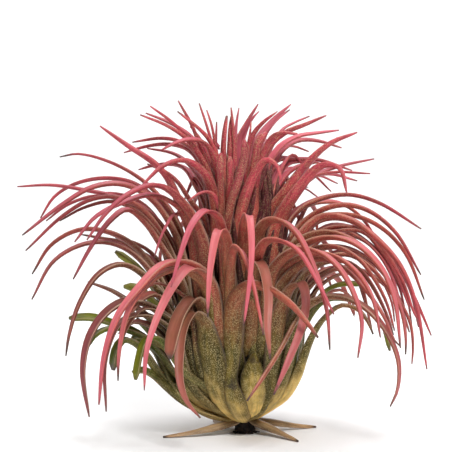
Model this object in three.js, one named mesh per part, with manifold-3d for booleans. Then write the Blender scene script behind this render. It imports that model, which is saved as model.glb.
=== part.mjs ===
// A large sky plant (an air plant): a rosette of narrow arching leaves on a short hidden stem,
// with a broken stub of black roots under it. Millimetres, +Z up, the front is -Y, and the
// origin is the middle of the flat spot under the roots.

import * as THREE from 'three';
import { mergeVertices } from 'three/addons/utils/BufferGeometryUtils.js';
import Module from 'manifold-3d';

const wasm = await Module();
wasm.setup();

// Root stub
const ROOT_HEIGHT = 4.2;
const ROOT_WIDTH = 7.4;
const ROOT_DEPTH = 6.2;
const ROOT_SIDES = 14;
const ROOT_LEVELS = [[0.55, 0], [0.95, 0.3], [1, 0.6], [0.7, 1]];
const ROOT_ROUGH = 0.14;
const ROOTLETS = 7;
const ROOTLET_REACH = [0.6, 1.4];
const ROOTLET_HEIGHT = [0.55, 0.42];
const ROOTLET_THICK = [1.3, 0.8];
const ROOTLET_SIDES = 5;
const ROOT_GAP = 0.3;

// Core: the packed inner leaf feet as a smaller body, its profile [radius, height above the roots]
const CORE_FOOT = ROOT_HEIGHT + ROOT_GAP;
const CORE_SIDES = 8;
const CORE_PROFILE = [[2.8, 0], [8, 4], [17, 17], [19.4, 36], [18, 62], [11, 89], [6, 95]];
const CORE_LEAN = -0.05;

// Where the eye stands when the leaf courses below are read off, as seen from in front
const EYE_FAR = 650;
const EYE_SIDE = -7.5;
const EYE_HIGH = 106;

// Where a leaf leaves the stem: lower for a leaf that spreads, higher for one that stands
const FOOT_LOW = 6.5;
const FOOT_HIGH = 58;
const FOOT_SLOPE = 1.3;
const FOOT_LIFT = 18;
const FOOT_RISE = 0.8;

// The belly of the sheath, as shares of the way from the foot to the course's first point
const BELLY_OUT = 0.72;
const BELLY_UP = 0.34;
const BELLY_FROM = 22;

// Leaf section: sheath width as a multiple of the blade's, for low and for high leaves
const SHEATH_LOW = 2.5;
const SHEATH_HIGH = 1.9;
const SHEATH_LEAST = 7.5;
const SHEATH_ENTRY = 0.6;
const SHEATH_FULL = 0.15;
const SHEATH_END = 0.55;
const TAPER_SHARE = 0.5;
const TAPER_POWER = 0.66;
const BLUNT_NARROW = 0.8;
const TIP_WIDE = 0.9;

// How deep the leaf's back is, as shares of its width in the sheath, the blade and the tip, and
// the least wall under it
const BACK_DEEP = { sheath: 0.4, blade: 0.52, tip: 0.6 };
const WALL_LEAST = 0.3;
const BLADE_FROM = 0.15;
const BLADE_FULL = 0.5;
const TIP_FROM = 0.7;
const SECTION_SIDES = 3;
const SAMPLES = 60;

// How much wider than listed the blades of each group are
const WIDER = { crown: 1.3, left: 1.14, right: 1.1, front: 1, trimmed: 1.1 };

// Each leaf is [depth at its first point, depth at its tip, blade width, then its course as
// [across, up] points from the body out to the tip, as the eye sees them]
const CROWN = [
  [-2, -8, 2.6, [-13, 96], [-17.5, 109], [-20.3, 116], [-25.3, 125]],
  [-6, -14, 2.4, [-9, 96], [-13, 109], [-17, 114], [-25.6, 121]],
  [2, 6, 2.4, [-9.5, 94], [-12, 107], [-14.5, 115.5], [-17.4, 124]],
  [-4, -9, 2, [-9.5, 95], [-11.5, 109], [-12.8, 116], [-14.6, 121.5]],
  [-3, -12, 2.8, [-13, 94], [-20, 109], [-28, 117.3], [-35.8, 123]],
  [-8, -22, 3.2, [-13, 94], [-21, 109.5], [-29, 115.5], [-39.6, 119.8]],
  [3, 8, 2.8, [-12, 96], [-20, 111], [-28, 116.5], [-37.5, 120.4]],
  [-6, -20, 5.2, [-20, 74], [-25, 87], [-29.6, 96.8], [-34.8, 102.2], [-43.6, 107.9], [-54.6, 115.6]],
  [8, 26, 3.8, [-14, 88], [-18.4, 98], [-22.4, 103.2], [-27, 106.4], [-33, 107.7], [-39, 107.2],
    [-45.8, 105.6]],
  [6, 20, 3.2, [-13, 94], [-19, 106], [-25, 110], [-32, 111], [-42.6, 109.5]],
  [-8, -24, 3.2, [-10, 96], [-15, 109], [-21, 110.6], [-27, 109], [-31.9, 106.4]],
  [12, 34, 4, [-14, 84], [-18.6, 93.4], [-22.4, 99.4], [-27, 101.3], [-34.6, 100.8], [-40.3, 99.2]],
  [-10, -26, 4.2, [-12, 88], [-16, 98], [-23, 102.9], [-31, 100.8], [-39.4, 93]],
  [-14, -24, 2.6, [-9, 82], [-13, 90.5], [-17, 90.6], [-21.8, 87.5]],
  [2, 6, 3, [-4, 94], [-3, 110], [0.5, 117], [4.6, 123.6]],
  [6, 14, 2.4, [-3, 96], [-1, 111], [2, 117.8], [4.9, 120.9]],
  [-6, -12, 1.8, [0, 96], [0.8, 108], [1.5, 113], [1.9, 117.2]],
  [6, 10, 2, [-3.5, 96], [-4, 110], [-3.5, 117], [-2.6, 122.3]],
  [-4, -8, 2.4, [-5, 92], [-4.2, 106], [-4.9, 116], [-5.5, 122.4]],
  [-1, -3, 5.4, [-7.5, 90], [-8.2, 104], [-8, 112], [-7.2, 119.3]],
  [-3, -6, 4, [-6, 96], [-6, 108], [-5.9, 114], [-5.5, 119]],
  [-5, -9, 2.8, [-8.5, 92], [-8.2, 105], [-7.8, 112], [-6.9, 119.3]],
  [-12, -30, 3.6, [-8, 84], [-8.8, 98], [-9.6, 106], [-11, 104.6], [-11.8, 96.5]],
  [-12, -30, 4.4, [-9.5, 78], [-8.2, 92], [-5.8, 103], [-3.4, 111.4], [-2.2, 112.4], [-1.4, 110]],
  [-8, -20, 3.4, [-2, 80], [0.6, 94], [2.8, 103], [5.4, 110], [7.4, 115]],
  [-6, -24, 3.6, [1, 94], [3.5, 107], [5.6, 113], [8, 111.5], [9, 108]],
  [2, 8, 3.2, [0, 96], [4.5, 110.5], [10, 117.5], [16.8, 123.6]],
  [8, 16, 2.8, [2, 96], [6, 110.5], [11, 117.5], [16.4, 121.6]],
  [-2, -8, 2.6, [-1, 96], [2, 111], [6, 116.5], [11.8, 120.9]],
  [12, 24, 1.8, [6, 98], [13, 113.5], [18, 116.8], [23.7, 119.2]],
  [-2, -8, 3.2, [4, 94], [9, 108], [15, 113.2], [22, 116], [30, 119.5]],
  [6, 14, 2.8, [6, 94], [12, 107], [19, 111.6], [27, 113], [34.8, 114]],
  [-10, -24, 2.4, [4, 96], [9, 110.5], [13, 113], [19.3, 112.7]],
  [10, 30, 3.4, [6, 90], [12, 105], [19, 110], [27, 110], [35.8, 107.4]],
  [16, 34, 2.4, [8, 94], [14, 107], [18, 108], [23.5, 106]],
  [-4, -12, 4.4, [8, 80], [15.6, 92], [23.4, 102], [31.4, 109], [41.6, 113.2]],
  [2, 8, 3.4, [12, 86], [20, 97], [27, 105], [34, 111.2]],
  [18, 36, 2.8, [18, 84], [28, 97], [36, 100.5], [48, 103.3]],
  [10, 30, 3.2, [5, 90], [11, 102.6], [19, 103.2], [28, 102.8], [39.8, 98.9]],
  [8, 20, 2.6, [17, 82], [25, 96.5], [33, 98.3], [46.5, 97.8]],
  [24, 40, 2.6, [10, 82], [22, 95.4], [31, 97.6], [41.7, 95]],
  [20, 50, 2.2, [9, 80], [20, 93], [27, 97], [34.4, 94]],
  [-10, -30, 5, [12, 78], [20, 92], [28.6, 100.8], [35.2, 99.8], [37.9, 90.4]],
  [-12, -26, 3.8, [-2, 82], [3, 97], [8, 102.8], [12, 100], [13.2, 94.8]],
  [14, 44, 3.2, [6, 84], [11, 97], [17, 101], [24, 100], [32, 92]],
  [10, 26, 3.8, [5, 82], [10.4, 95], [15.4, 101.4], [21, 102.4], [28, 101.6]],
  [28, 44, 1.6, [9, 80], [16.4, 89.6], [21.4, 92.4], [27.4, 88.6]],
];

const LEFT_ARCHES = [
  [4, 14, 3.2, [-25, 78], [-33, 90], [-41, 97], [-52, 102.6], [-63, 105.2], [-69.8, 104]],
  [2, 0, 3.6, [-27, 70], [-36, 83], [-47, 88.6], [-60, 91.6], [-73, 93.5], [-85.7, 92.9]],
  [6, 18, 3.8, [-25, 74], [-34, 88], [-43, 94.6], [-53, 96.2], [-64, 94], [-72, 89], [-77.2, 81]],
  [-4, -14, 3.8, [-25, 72], [-35, 88], [-46, 93.8], [-57, 92.9], [-68, 86.8], [-84, 74.6]],
  [8, 22, 3.2, [-26, 66], [-37, 82], [-47, 88], [-57, 89.3], [-67, 86], [-75, 80]],
  [-2, -8, 3.8, [-27, 66], [-38, 84], [-48, 89], [-58, 88.2], [-69, 81.8], [-82.8, 68.8]],
  [-14, -43, 4.2, [-17, 74], [-24, 87], [-33, 93.5], [-43, 90.8], [-52, 83.5], [-59.8, 72.8]],
  [-10, -36, 3.6, [-17, 70], [-25, 85], [-35, 89.8], [-46, 87], [-56.6, 81.4], [-64.4, 72]],
  [-6, -26, 3.8, [-24, 57], [-32.6, 72], [-38, 79.6], [-44.6, 84.4], [-51, 80], [-58, 70.5],
    [-65, 58]],
  [-2, -6, 4.4, [-31, 56], [-41, 70], [-51, 75.8], [-62, 76.9], [-73, 71.2], [-80.4, 60]],
  [8, 20, 4.4, [-30, 52], [-38.4, 65.4], [-46.5, 72], [-54, 73.6], [-62, 75]],
  [-6, -16, 3.8, [-30, 50], [-39, 65], [-49, 71.4], [-60, 71.6], [-72.2, 65], [-80.6, 50.4]],
  [-10, -31, 4, [-26, 42], [-36, 57.4], [-46, 63.8], [-55, 60.4], [-62.6, 49.2], [-66.6, 37],
    [-67.9, 29]],
  [-12, -36, 4.4, [-24, 36], [-34, 47], [-44, 50], [-52.4, 45.6], [-59, 36], [-61.4, 24],
    [-60.5, 8.6]],
  [-20, -60, 4.2, [-14, 56], [-22, 64], [-31, 63.5], [-40, 55], [-48.3, 44], [-53.4, 29],
    [-55.5, 10.6]],
  [-12, -43, 3, [-24, 34], [-36, 44.4], [-47, 42], [-52.8, 28], [-53, 9]],
  [-22, -58, 4.2, [-12, 54], [-17, 61], [-22, 62], [-28, 54.5], [-34, 42], [-37.5, 30], [-38.3, 16]],
  [-18, -31, 2.6, [-22, 50], [-30, 55.8], [-35, 56.4], [-40, 52]],
  [-14, -34, 2.6, [-24, 38], [-33, 46], [-39, 46.8], [-44, 41], [-47, 34]],
  [-10, -26, 1.8, [-18, 72], [-26, 83], [-30, 78], [-33, 71], [-34.5, 66]],
  [4, 10, 4.2, [-25, 60], [-30.6, 76.4], [-37.6, 85.6], [-46.6, 89.8], [-58, 90.6]],
  [-2, -4, 3.8, [-25, 60], [-32, 74], [-40.5, 83.6], [-50, 87.4], [-61, 85], [-70, 80]],
  [4, 8, 4.4, [-25, 52], [-30.6, 62], [-36, 68.6], [-42, 72], [-49, 73.8]],
  [2, 12, 3.6, [-16, 78], [-20.4, 89], [-24.2, 95], [-29.3, 98.8], [-36, 101.6]],
  [2, -4, 4.6, [-24, 26], [-31.4, 36.6], [-37, 41.2], [-43, 41.8], [-48, 37.5]],
];

const RIGHT_ARCHES = [
  [4, 10, 3.8, [14, 76], [20, 84.5], [29, 88.8], [39, 90], [50, 86.8], [65.8, 77]],
  [-2, -8, 4, [16, 72], [25, 82.5], [36, 86.2], [46, 84], [56.2, 75.8], [65.8, 59.7]],
  [6, 16, 3.6, [20, 72], [29, 81.5], [39.2, 82.4], [50.4, 77.8], [59.9, 67.9], [67.1, 50.3]],
  [-6, -18, 4.2, [18, 70], [28, 81.5], [38, 81], [48, 74.5], [58, 63.5], [64, 49], [68.3, 24]],
  [10, 24, 3.4, [20, 66], [31, 78], [43, 76.5], [55, 66], [63, 52], [69.8, 36.8]],
  [-12, -41, 3.6, [14, 66], [24, 74.5], [34, 75.5], [44, 70], [53.2, 58.6], [58.6, 46], [60.2, 36],
    [60.2, 29.6]],
  [-14, -48, 3.8, [13, 62], [22, 71], [32, 74], [42, 71], [51, 62], [56, 50], [58.2, 32]],
  [2, 4, 3.6, [18, 64], [28, 76.5], [38, 78], [48, 74.5], [57, 65], [62.5, 52], [65, 40]],
  [0, 2, 3, [19, 62], [29, 74], [37.6, 76.8], [44.6, 75.6], [49.8, 70], [55, 62.6], [59, 54],
    [62, 46]],
  [6, 12, 3.4, [18, 58], [27, 69], [37, 70], [47, 65], [56, 54], [62.6, 40]],
  [-16, -53, 3.8, [12, 58], [23, 67], [33, 67], [42, 60.5], [48, 50], [50.7, 36]],
  [-12, -40, 4.2, [17, 40], [23, 48], [30, 51.5], [38, 51], [46, 46.5], [53.1, 38], [57.5, 27],
    [57.1, 16], [54.4, 9.8]],
  [-18, -50, 3.8, [13, 54], [22, 64], [30, 65.6], [38, 61.5], [46, 53], [52, 44], [56, 35], [58, 33]],
  [12, 26, 2.8, [14, 78], [22, 85.5], [31, 87.3], [38, 85.6], [45, 79.5], [50, 70], [54, 62],
    [58, 54]],
  [8, 14, 3, [19, 66], [26, 74], [33, 78], [39, 77.8], [47, 74], [54, 66.5], [60, 54], [62.5, 41]],
  [4, 6, 3, [18, 64], [26, 73.5], [35, 75.4], [43, 73.5], [51, 67], [57, 57], [60, 46]],
  [0, 2, 3.4, [17, 70], [27, 80], [36, 81], [44, 77.4], [52, 68.5], [59, 57], [63.5, 45], [66, 41]],
  [-8, -20, 3.4, [17, 58], [25, 69], [33.6, 70.4], [42.6, 65.6], [48.8, 57.4], [53.2, 48.6],
    [56, 38.6]],
  [2, 2, 3.2, [18, 66], [28, 75], [37, 76.6], [45.6, 72], [51.8, 65], [56, 56], [58.6, 46.6]],
  [-6, -16, 3.8, [18, 54], [28, 64], [37, 65], [43, 61.6], [47.2, 56.2], [50.8, 49.6], [53.8, 42.8],
    [55.6, 37]],
  [-4, -10, 3.4, [19, 56], [28, 65], [38, 67.5], [47, 62.5], [54, 54], [58.8, 46], [61.6, 38]],
  [6, 8, 2.4, [24, 48], [31, 53], [36, 54], [39.6, 51], [41, 44.6]],
  [6, 10, 2.4, [24, 51], [34, 59.6], [40.6, 59.8], [44.4, 51], [46.6, 43], [47.6, 38.4]],
  [10, 20, 3, [22, 56], [33, 68], [43, 67], [51, 58], [55, 49], [56, 42]],
  [0, -4, 3.6, [21, 52], [33, 62], [44.6, 61], [55.8, 52.6], [61.8, 42], [63, 33], [62.6, 26]],
  [-20, -60, 3.8, [10, 60], [19, 69], [27, 68.5], [34, 63.5], [40, 54], [43.6, 42], [42.2, 28.2]],
  [4, 8, 3.2, [20, 48], [27, 60.4], [35, 62.6], [41.4, 60], [45, 51], [46.4, 42]],
];

const FRONT = [
  [-20, -55, 4.2, [-8, 66], [-10.5, 81], [-15.5, 83.7], [-20.5, 78], [-25, 66], [-28.2, 55]],
  [-20, -52, 4.6, [-6.5, 60], [-8, 74.5], [-10.5, 76], [-12.8, 66], [-14, 54], [-14.4, 43.5]],
  [-16, -55, 3.8, [-1.5, 66], [-0.5, 79], [1, 81.8], [2, 72], [1.6, 60], [-0.8, 40.5]],
  [-22, -55, 3.6, [-6, 58], [-4.5, 69.5], [-1.5, 68.5], [1.5, 61], [4.2, 50], [6.8, 37]],
  [-14, -58, 4, [3, 64], [6, 77.5], [12, 80.4], [19, 75.5], [26, 61.5], [30.5, 46], [31.7, 31.3]],
  [-20, -60, 4, [3, 60], [7, 71.5], [13, 72.7], [20, 68.5], [27, 57], [33.2, 44.8]],
];

const TRIMMED = [
  [2, 6, 4.4, [-29, 44], [-35.4, 56], [-41.4, 63], [-49, 68.6]],
  [-16, -46, 3.4, [-24, 46], [-33, 52.3], [-41.2, 48.6], [-46.8, 38], [-49, 23.4]],
  [-10, -18, 4.4, [-26, 22], [-33, 31], [-38.4, 34.6], [-42, 33.4], [-42.8, 30.6]],
  [6, 14, 4.8, [-28, 36], [-40, 46.8], [-50, 53.2], [-59.2, 57]],
  [-2, -4, 5.6, [-26, 41], [-34, 49], [-40.6, 54.8], [-46.2, 55.6]],
  [-14, -30, 2.6, [-28, 30], [-44, 39], [-52, 40.5], [-58, 37], [-60, 33]],
  [-16, -30, 3.6, [-26, 26], [-37, 36.6], [-44.6, 36.6], [-48.6, 31.6], [-49.8, 24]],
  [-18, -30, 3.4, [-24, 24], [-33, 36], [-38, 35], [-40.3, 28], [-41.6, 20]],
  [4, 8, 3.6, [-24, 18], [-31.6, 30], [-36.4, 37.4], [-41, 42.4]],
  [-2, -10, 3.4, [22, 42], [30, 54], [38, 56.6], [44, 56]],
  [-10, -26, 2.6, [20, 36], [29, 49.6], [37, 50.6], [45.4, 48], [51.4, 41], [54.3, 31]],
];

// The leaves whose swollen sheaths make the foot: the whole course of each from the stem to the
// tip, as [across, up, depth, width] points
const BASE = [
  [[-3, 5, -3, 5], [-9, 10.5, -10.5, 8], [-12, 18, -15, 11], [-12.8, 26, -17, 12],
    [-13.8, 34, -18.5, 10.4], [-15.6, 41.5, -20, 6.8], [-19.6, 45.6, -25, 4.2],
    [-23.4, 40, -33, 3.8], [-24.9, 30, -39, 3.6], [-24.6, 19, -44, 2.8], [-22, 11.5, -47, 1.8],
    [-17.2, 5.6, -49, 0.5]],
  [[-1.8, 5.4, -5, 5.6], [-2.8, 7.2, -12.6, 8.2], [-3.2, 11.8, -17, 9], [-4.5, 19.6, -18, 5.2],
    [-4.6, 27, -18.6, 6.6], [-4.8, 38, -19.6, 8.6], [-4.6, 48.4, -22, 8], [0.5, 55.4, -30, 4],
    [8, 54.4, -40, 3.4], [17, 48.4, -49, 2.8], [23.5, 41, -53, 2], [27.2, 36, -56, 0.6]],
  [[-3, 6, -1, 4], [-12, 9.6, -9, 6], [-20.2, 17.5, -12.5, 7], [-24, 27, -13.5, 7],
    [-26, 37, -13.5, 5.4], [-29, 46, -14, 4.4], [-34, 52.6, -17, 3.6], [-40, 50, -21, 3.2],
    [-45, 42, -24, 2.2], [-47, 35, -26, 0.6]],
  [[1, 6, -3, 5], [2.6, 16, -11, 7], [3.2, 28.5, -14, 4.6], [3.3, 36, -15.4, 6],
    [3.2, 44, -16.5, 6.4], [2.4, 56, -19, 6], [3.4, 64.4, -26, 4.2], [6.4, 62, -36, 3.8],
    [8.3, 52, -44, 3.4], [8, 40, -49, 2.8], [9.2, 28, -52, 0.6]],
  [[1.5, 5.6, -3, 4], [5, 8.4, -11, 6.4], [8.2, 14, -14.6, 6.6], [9.8, 22, -16.6, 7],
    [11, 32, -17.6, 7.6], [12.6, 43, -18.5, 7.6], [16, 53.6, -22, 5.4], [20.6, 56, -31, 4.6],
    [23.2, 49, -41, 4.4], [21.6, 40, -47, 3.6], [16, 27, -54, 2.6], [10.4, 14.4, -57, 0.6]],
  [[2.5, 5.6, -2, 4], [7.4, 9.4, -10, 6], [12, 14.5, -13.4, 6.4], [15, 22, -15, 6],
    [17.4, 33, -16.6, 5.4], [19.4, 42.4, -21, 4], [18, 41.5, -32, 3], [13, 32, -41, 2.8],
    [6.5, 21.5, -49, 2.2], [0.3, 12.2, -54, 0.6]],
  [[3, 5.6, -1, 4], [9, 9.6, -7, 6.2], [15, 14.2, -10, 7], [19.2, 21.5, -11, 7],
    [21.8, 29, -11, 6.4], [24.4, 36.5, -11, 5.8], [28.8, 43.6, -11.5, 4.6], [36, 48.6, -13, 3.6],
    [42.5, 46.6, -15, 2.8], [46, 42, -15.6, 1.8], [48, 37.3, -16, 0.5]],
];

// Leaves of the foot with their ends cut or worn off, in the same form
const BASE_CUT = [
  [[-3, 8, -2, 5], [-11, 20, -12, 8], [-14, 36, -15, 8], [-16, 47, -17, 6], [-19.5, 50.8, -21, 5],
    [-24.5, 45, -29, 5.2], [-27.2, 37, -35, 5.2], [-28.3, 31, -38, 4.2], [-28.6, 28, -39.5, 2.6]],
  [[1.6, 6.6, -6, 5], [2.8, 9.6, -12.4, 8], [3.2, 15, -16.4, 9.6], [3, 21.5, -17.6, 9.2],
    [2.8, 26.5, -16.8, 6.8], [2.8, 29.4, -14.6, 4], [2.9, 30.6, -12.4, 2.4]],
  [[-4, 5, 0, 4], [-12, 7.4, -6, 6], [-20, 10.6, -9, 6.6], [-26, 16.4, -9.5, 6.6],
    [-30, 23.6, -9.5, 6.2], [-34, 31.4, -10, 5.2], [-41, 37.6, -12, 4], [-50, 41.4, -14, 3.4],
    [-58, 44, -16, 3.6], [-65.4, 44.2, -18, 3]],
  [[-2, 6.2, -1, 4], [-7, 5.6, -3, 5], [-13, 7, -5, 5.6], [-19, 10.4, -7.8, 5.4],
    [-25, 16, -10.4, 5], [-30.4, 22.6, -12.4, 4.6], [-35, 28.2, -14, 4.2], [-38.6, 31.2, -15, 3.8],
    [-43, 32.4, -16, 3]],
];

// Leaves of the back, by a rule: from the outer, arching ones to the inner, upright ones, with
// only every third place taken. Each of a leaf's points is [radius, height] in the upright plane
// through the stem, and gathered by a share toward the middle of the back.
const BACK_PLACES = 46;
const BACK_STEP = 3;
const BACK_MIDDLE = 88;
const BACK_SPAN_OUTER = 150;
const BACK_SPAN_INNER = 170;
const GOLDEN_SHARE = 0.618034;
const BACK_OUTER = { start: [23, 40], crest: [41, 62], fall: [56, 55], tip: [62, 36], width: 3.8 };
const BACK_INNER = { start: [9, 90], crest: [16, 106], fall: [23, 111], tip: [30, 112], width: 3.0 };
const BACK_GATHER = { start: 1, crest: 0.7, fall: 0.6, tip: 0.55 };
const BACK_SPREAD = 5;
const BACK_SWAY = 6;

// Short dead leaves of the foot lie flat on the ground, as [radius, height, width] points, each
// of its own length and bent to its own side
const PROP_TURNS = [-34, 22, 74, 124, 212];
const PROP_UNEVEN = 0.16;
const PROP_BEND = 8;
const PROP_LONG = 30;
const PROP_COURSE = [
  [1.5, 6.6, 4], [5, 4.9, 5.2], [10, 3.7, 6], [15, 2.6, 5.6], [21, 1.5, 4.2], [26, 0.9, 2.6],
  [29, 0.6, 0.9],
];

// The clear space round the roots, its profile [radius, height]
const ROOT_CLEAR = [[5.6, -1], [5.6, 2.8], [4.1, 3.2], [4.1, CORE_FOOT]];
const ROOT_CLEAR_SIDES = 16;

// A repeatable draw is the part after the point of a large, fast wave
const DRAW_ITEM = 12.9898;
const DRAW_KIND = 78.233;
const DRAW_WAVE = 43758.5453;
const DRAWS = { length: 51, bend: 52, rootlet: 4 };

const MERGE_WITHIN = 1e-4;
const LEAF_COLOUR = 0xa8505a;
const LEAF_ROUGH = 0.65;
const ROOT_COLOUR = 0x1c1412;
const ROOT_DULL = 0.95;

const vec = (x, y, z) => new THREE.Vector3(x, y, z);
const radians = THREE.MathUtils.degToRad;
const mix = THREE.MathUtils.lerp;
const clamp = THREE.MathUtils.clamp;
const smoothstep = THREE.MathUtils.smoothstep;

// A repeatable draw between -1 and 1
function draw(item, kind) {
  const wave = Math.sin(item * DRAW_ITEM + kind * DRAW_KIND) * DRAW_WAVE;
  return 2 * (wave - Math.floor(wave)) - 1;
}

// The point at a given depth that the eye sees at (across, up)
function seen([across, up], depth) {
  const eye = vec(EYE_SIDE, -EYE_FAR, EYE_HIGH);
  const step = (depth + EYE_FAR) / EYE_FAR;
  return eye.clone().lerp(vec(across, 0, up), step);
}

// A leaf's listed course becomes points in space, its depth growing fast and then settling
function course([near, far, , ...points]) {
  const last = points.length - 1;
  return points.map((point, i) => seen(point, mix(near, far, Math.sin((i / last) * Math.PI / 2))));
}

// How high on the stem the leaf's foot is
function footHeight(first) {
  const lift = first.z - FOOT_SLOPE * Math.hypot(first.x, first.y) - FOOT_LIFT;
  return clamp(FOOT_LOW + FOOT_RISE * lift, FOOT_LOW, FOOT_HIGH);
}

// The whole centre line, from the leaf's foot on the stem through the belly of its sheath
function centreLine(points) {
  const first = points[0];
  const height = footHeight(first);
  const foot = vec(CORE_LEAN * height, 0, height);
  if (first.z - height < BELLY_FROM) {
    return [foot, ...points];
  }
  const belly = foot.clone().lerp(first, BELLY_OUT);
  belly.z = mix(height, first.z, BELLY_UP);
  return [foot, belly, ...points];
}

// The level direction from a point to the stem, which a leaf's upper face turns to
function inward(point) {
  return vec(-point.x, -point.y, 0).normalize();
}

// A leaf whose foot and sheath follow from where its course starts
function makeLeaf(points, width, blunt) {
  const high = smoothstep(points[0].z, FOOT_LOW, FOOT_HIGH);
  return {
    line: centreLine(points),
    facing: inward(points[0]),
    width,
    sheath: Math.max(SHEATH_LEAST, width * mix(SHEATH_LOW, SHEATH_HIGH, high)),
    blunt,
  };
}

// A leaf given from its foot on, with its width at every point
function makeWholeLeaf(line, widths, blunt, rests) {
  return { line, facing: inward(line[1]), widths, blunt, rests };
}

// Leaf width at a share t of its length, wide at the sheath, then the blade, then the tip, or
// between the leaf's own widths at a share u of its course
function leafWidth(t, u, leaf) {
  if (leaf.widths) {
    const place = u * (leaf.widths.length - 1);
    const before = Math.min(Math.floor(place), leaf.widths.length - 2);
    return Math.max(mix(leaf.widths[before], leaf.widths[before + 1], place - before), TIP_WIDE);
  }
  const entry = mix(SHEATH_ENTRY, 1, smoothstep(t, 0, SHEATH_FULL));
  const body = mix(leaf.sheath * entry, leaf.width, smoothstep(t, SHEATH_FULL, SHEATH_END));
  if (leaf.blunt) {
    return body * mix(1, BLUNT_NARROW, t);
  }
  return mix(TIP_WIDE, body, Math.pow(clamp((1 - t) / TAPER_SHARE, 0, 1), TAPER_POWER));
}

// How deep the back is there, from the margins to the keel
function leafBack(t, width) {
  const body = mix(BACK_DEEP.sheath, BACK_DEEP.blade, smoothstep(t, BLADE_FROM, BLADE_FULL));
  return width * mix(body, BACK_DEEP.tip, smoothstep(t, TIP_FROM, 1));
}

// A closed leaf: a three-sided section, flat above and keeled below, at every point of its centre
// line, square to the smooth curve through them
function leafGeometry(leaf) {
  const curve = new THREE.CatmullRomCurve3(leaf.line, false, 'centripetal');
  const stations = leaf.line.length;
  const lengths = curveLengths(curve);
  const ring = [];
  let upper = leaf.facing;
  for (let i = 0; i < stations; i += 1) {
    const u = i / (stations - 1);
    const t = lengths[Math.round(u * SAMPLES)] / lengths[SAMPLES];
    const at = curve.getPoint(u);
    const along = curve.getTangent(u);
    const side = along.clone().cross(upper).normalize();
    upper = side.clone().cross(along).normalize();
    const width = leafWidth(t, u, leaf);
    const back = leafBack(t, width);
    ring.push(at.clone().addScaledVector(side, width / 2).addScaledVector(upper, back / 2));
    ring.push(at.clone().addScaledVector(side, -width / 2).addScaledVector(upper, back / 2));
    ring.push(at.clone().addScaledVector(upper, -back / 2 - WALL_LEAST));
  }
  if (leaf.rests) {
    const lowest = Math.min(...ring.map((point) => point.z));
    ring.forEach((point) => point.setZ(point.z - lowest));
  }
  return tubeGeometry(ring, SECTION_SIDES, stations);
}

// Length along the curve at even steps of its own parameter
function curveLengths(curve) {
  const points = curve.getPoints(SAMPLES);
  const lengths = [0];
  for (let i = 1; i <= SAMPLES; i += 1) {
    lengths.push(lengths[i - 1] + points[i].distanceTo(points[i - 1]));
  }
  return lengths;
}

// Joins rings of points into a closed body with a flat fan at each end
function tubeGeometry(ring, sides, stations) {
  const faces = [];
  for (let i = 0; i + 1 < stations; i += 1) {
    for (let k = 0; k < sides; k += 1) {
      const a = i * sides + k;
      const b = i * sides + (k + 1) % sides;
      faces.push(a, b, b + sides, a, b + sides, a + sides);
    }
  }
  const end = (stations - 1) * sides;
  for (let k = 1; k + 1 < sides; k += 1) {
    faces.push(0, k + 1, k);
    faces.push(end, end + k, end + k + 1);
  }
  const places = ring.flatMap((point) => point.toArray());
  const geometry = new THREE.BufferGeometry();
  geometry.setAttribute('position', new THREE.Float32BufferAttribute(places, 3));
  geometry.setIndex(faces);
  return geometry;
}

function toSolid(geometry) {
  const bare = geometry.clone();
  bare.deleteAttribute('normal');
  bare.deleteAttribute('uv');
  const merged = mergeVertices(bare, MERGE_WITHIN);
  const mesh = new wasm.Mesh({
    numProp: 3,
    vertProperties: new Float32Array(merged.attributes.position.array),
    triVerts: new Uint32Array(merged.index.array),
  });
  mesh.merge();
  const solid = new wasm.Manifold(mesh);
  return solid.volume() < 0 ? new wasm.Manifold(flipped(mesh)) : solid;
}

function flipped(mesh) {
  const faces = mesh.triVerts.slice();
  for (let i = 0; i < faces.length; i += 3) {
    [faces[i + 1], faces[i + 2]] = [faces[i + 2], faces[i + 1]];
  }
  return new wasm.Mesh({ numProp: 3, vertProperties: mesh.vertProperties, triVerts: faces });
}

// Joins solids into one body, keeping a space clear: a hollow sealed by the joining is filled, and
// a loose scrap dropped
function join(solids, clear) {
  let sum = solids[0];
  for (const solid of solids.slice(1)) {
    sum = sum.add(solid);
  }
  const bodies = (clear ? sum.subtract(clear) : sum).decompose();
  return bodies.reduce((best, body) => (body.volume() > best.volume() ? body : best));
}

function toGeometry(solid) {
  const mesh = solid.getMesh();
  const geometry = new THREE.BufferGeometry();
  const places = new Float32Array(mesh.vertProperties);
  geometry.setAttribute('position', new THREE.BufferAttribute(places, 3));
  geometry.setIndex(new THREE.BufferAttribute(new Uint32Array(mesh.triVerts), 1));
  return geometry;
}

// A body turned round the stem from a profile of [radius, height] points
function turnedGeometry(profile, sides) {
  const outline = profile.map(([r, z]) => new THREE.Vector2(r, z));
  outline.unshift(new THREE.Vector2(0, outline[0].y));
  outline.push(new THREE.Vector2(0, outline[outline.length - 1].y));
  const geometry = new THREE.LatheGeometry(outline, sides);
  geometry.rotateX(Math.PI / 2);
  return geometry;
}

function coreGeometry() {
  const geometry = turnedGeometry(CORE_PROFILE.map(([r, z]) => [r, z + CORE_FOOT]), CORE_SIDES);
  const place = geometry.attributes.position;
  for (let i = 0; i < place.count; i += 1) {
    place.setX(i, place.getX(i) + CORE_LEAN * (place.getZ(i) - CORE_FOOT));
  }
  return geometry;
}

// A point at radius r and height z in the upright plane at a turn from +X, and off it by sway
function around(turn, r, z, sway = 0) {
  const a = radians(turn);
  return vec(r * Math.cos(a) - sway * Math.sin(a), r * Math.sin(a) + sway * Math.cos(a), z);
}

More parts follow.
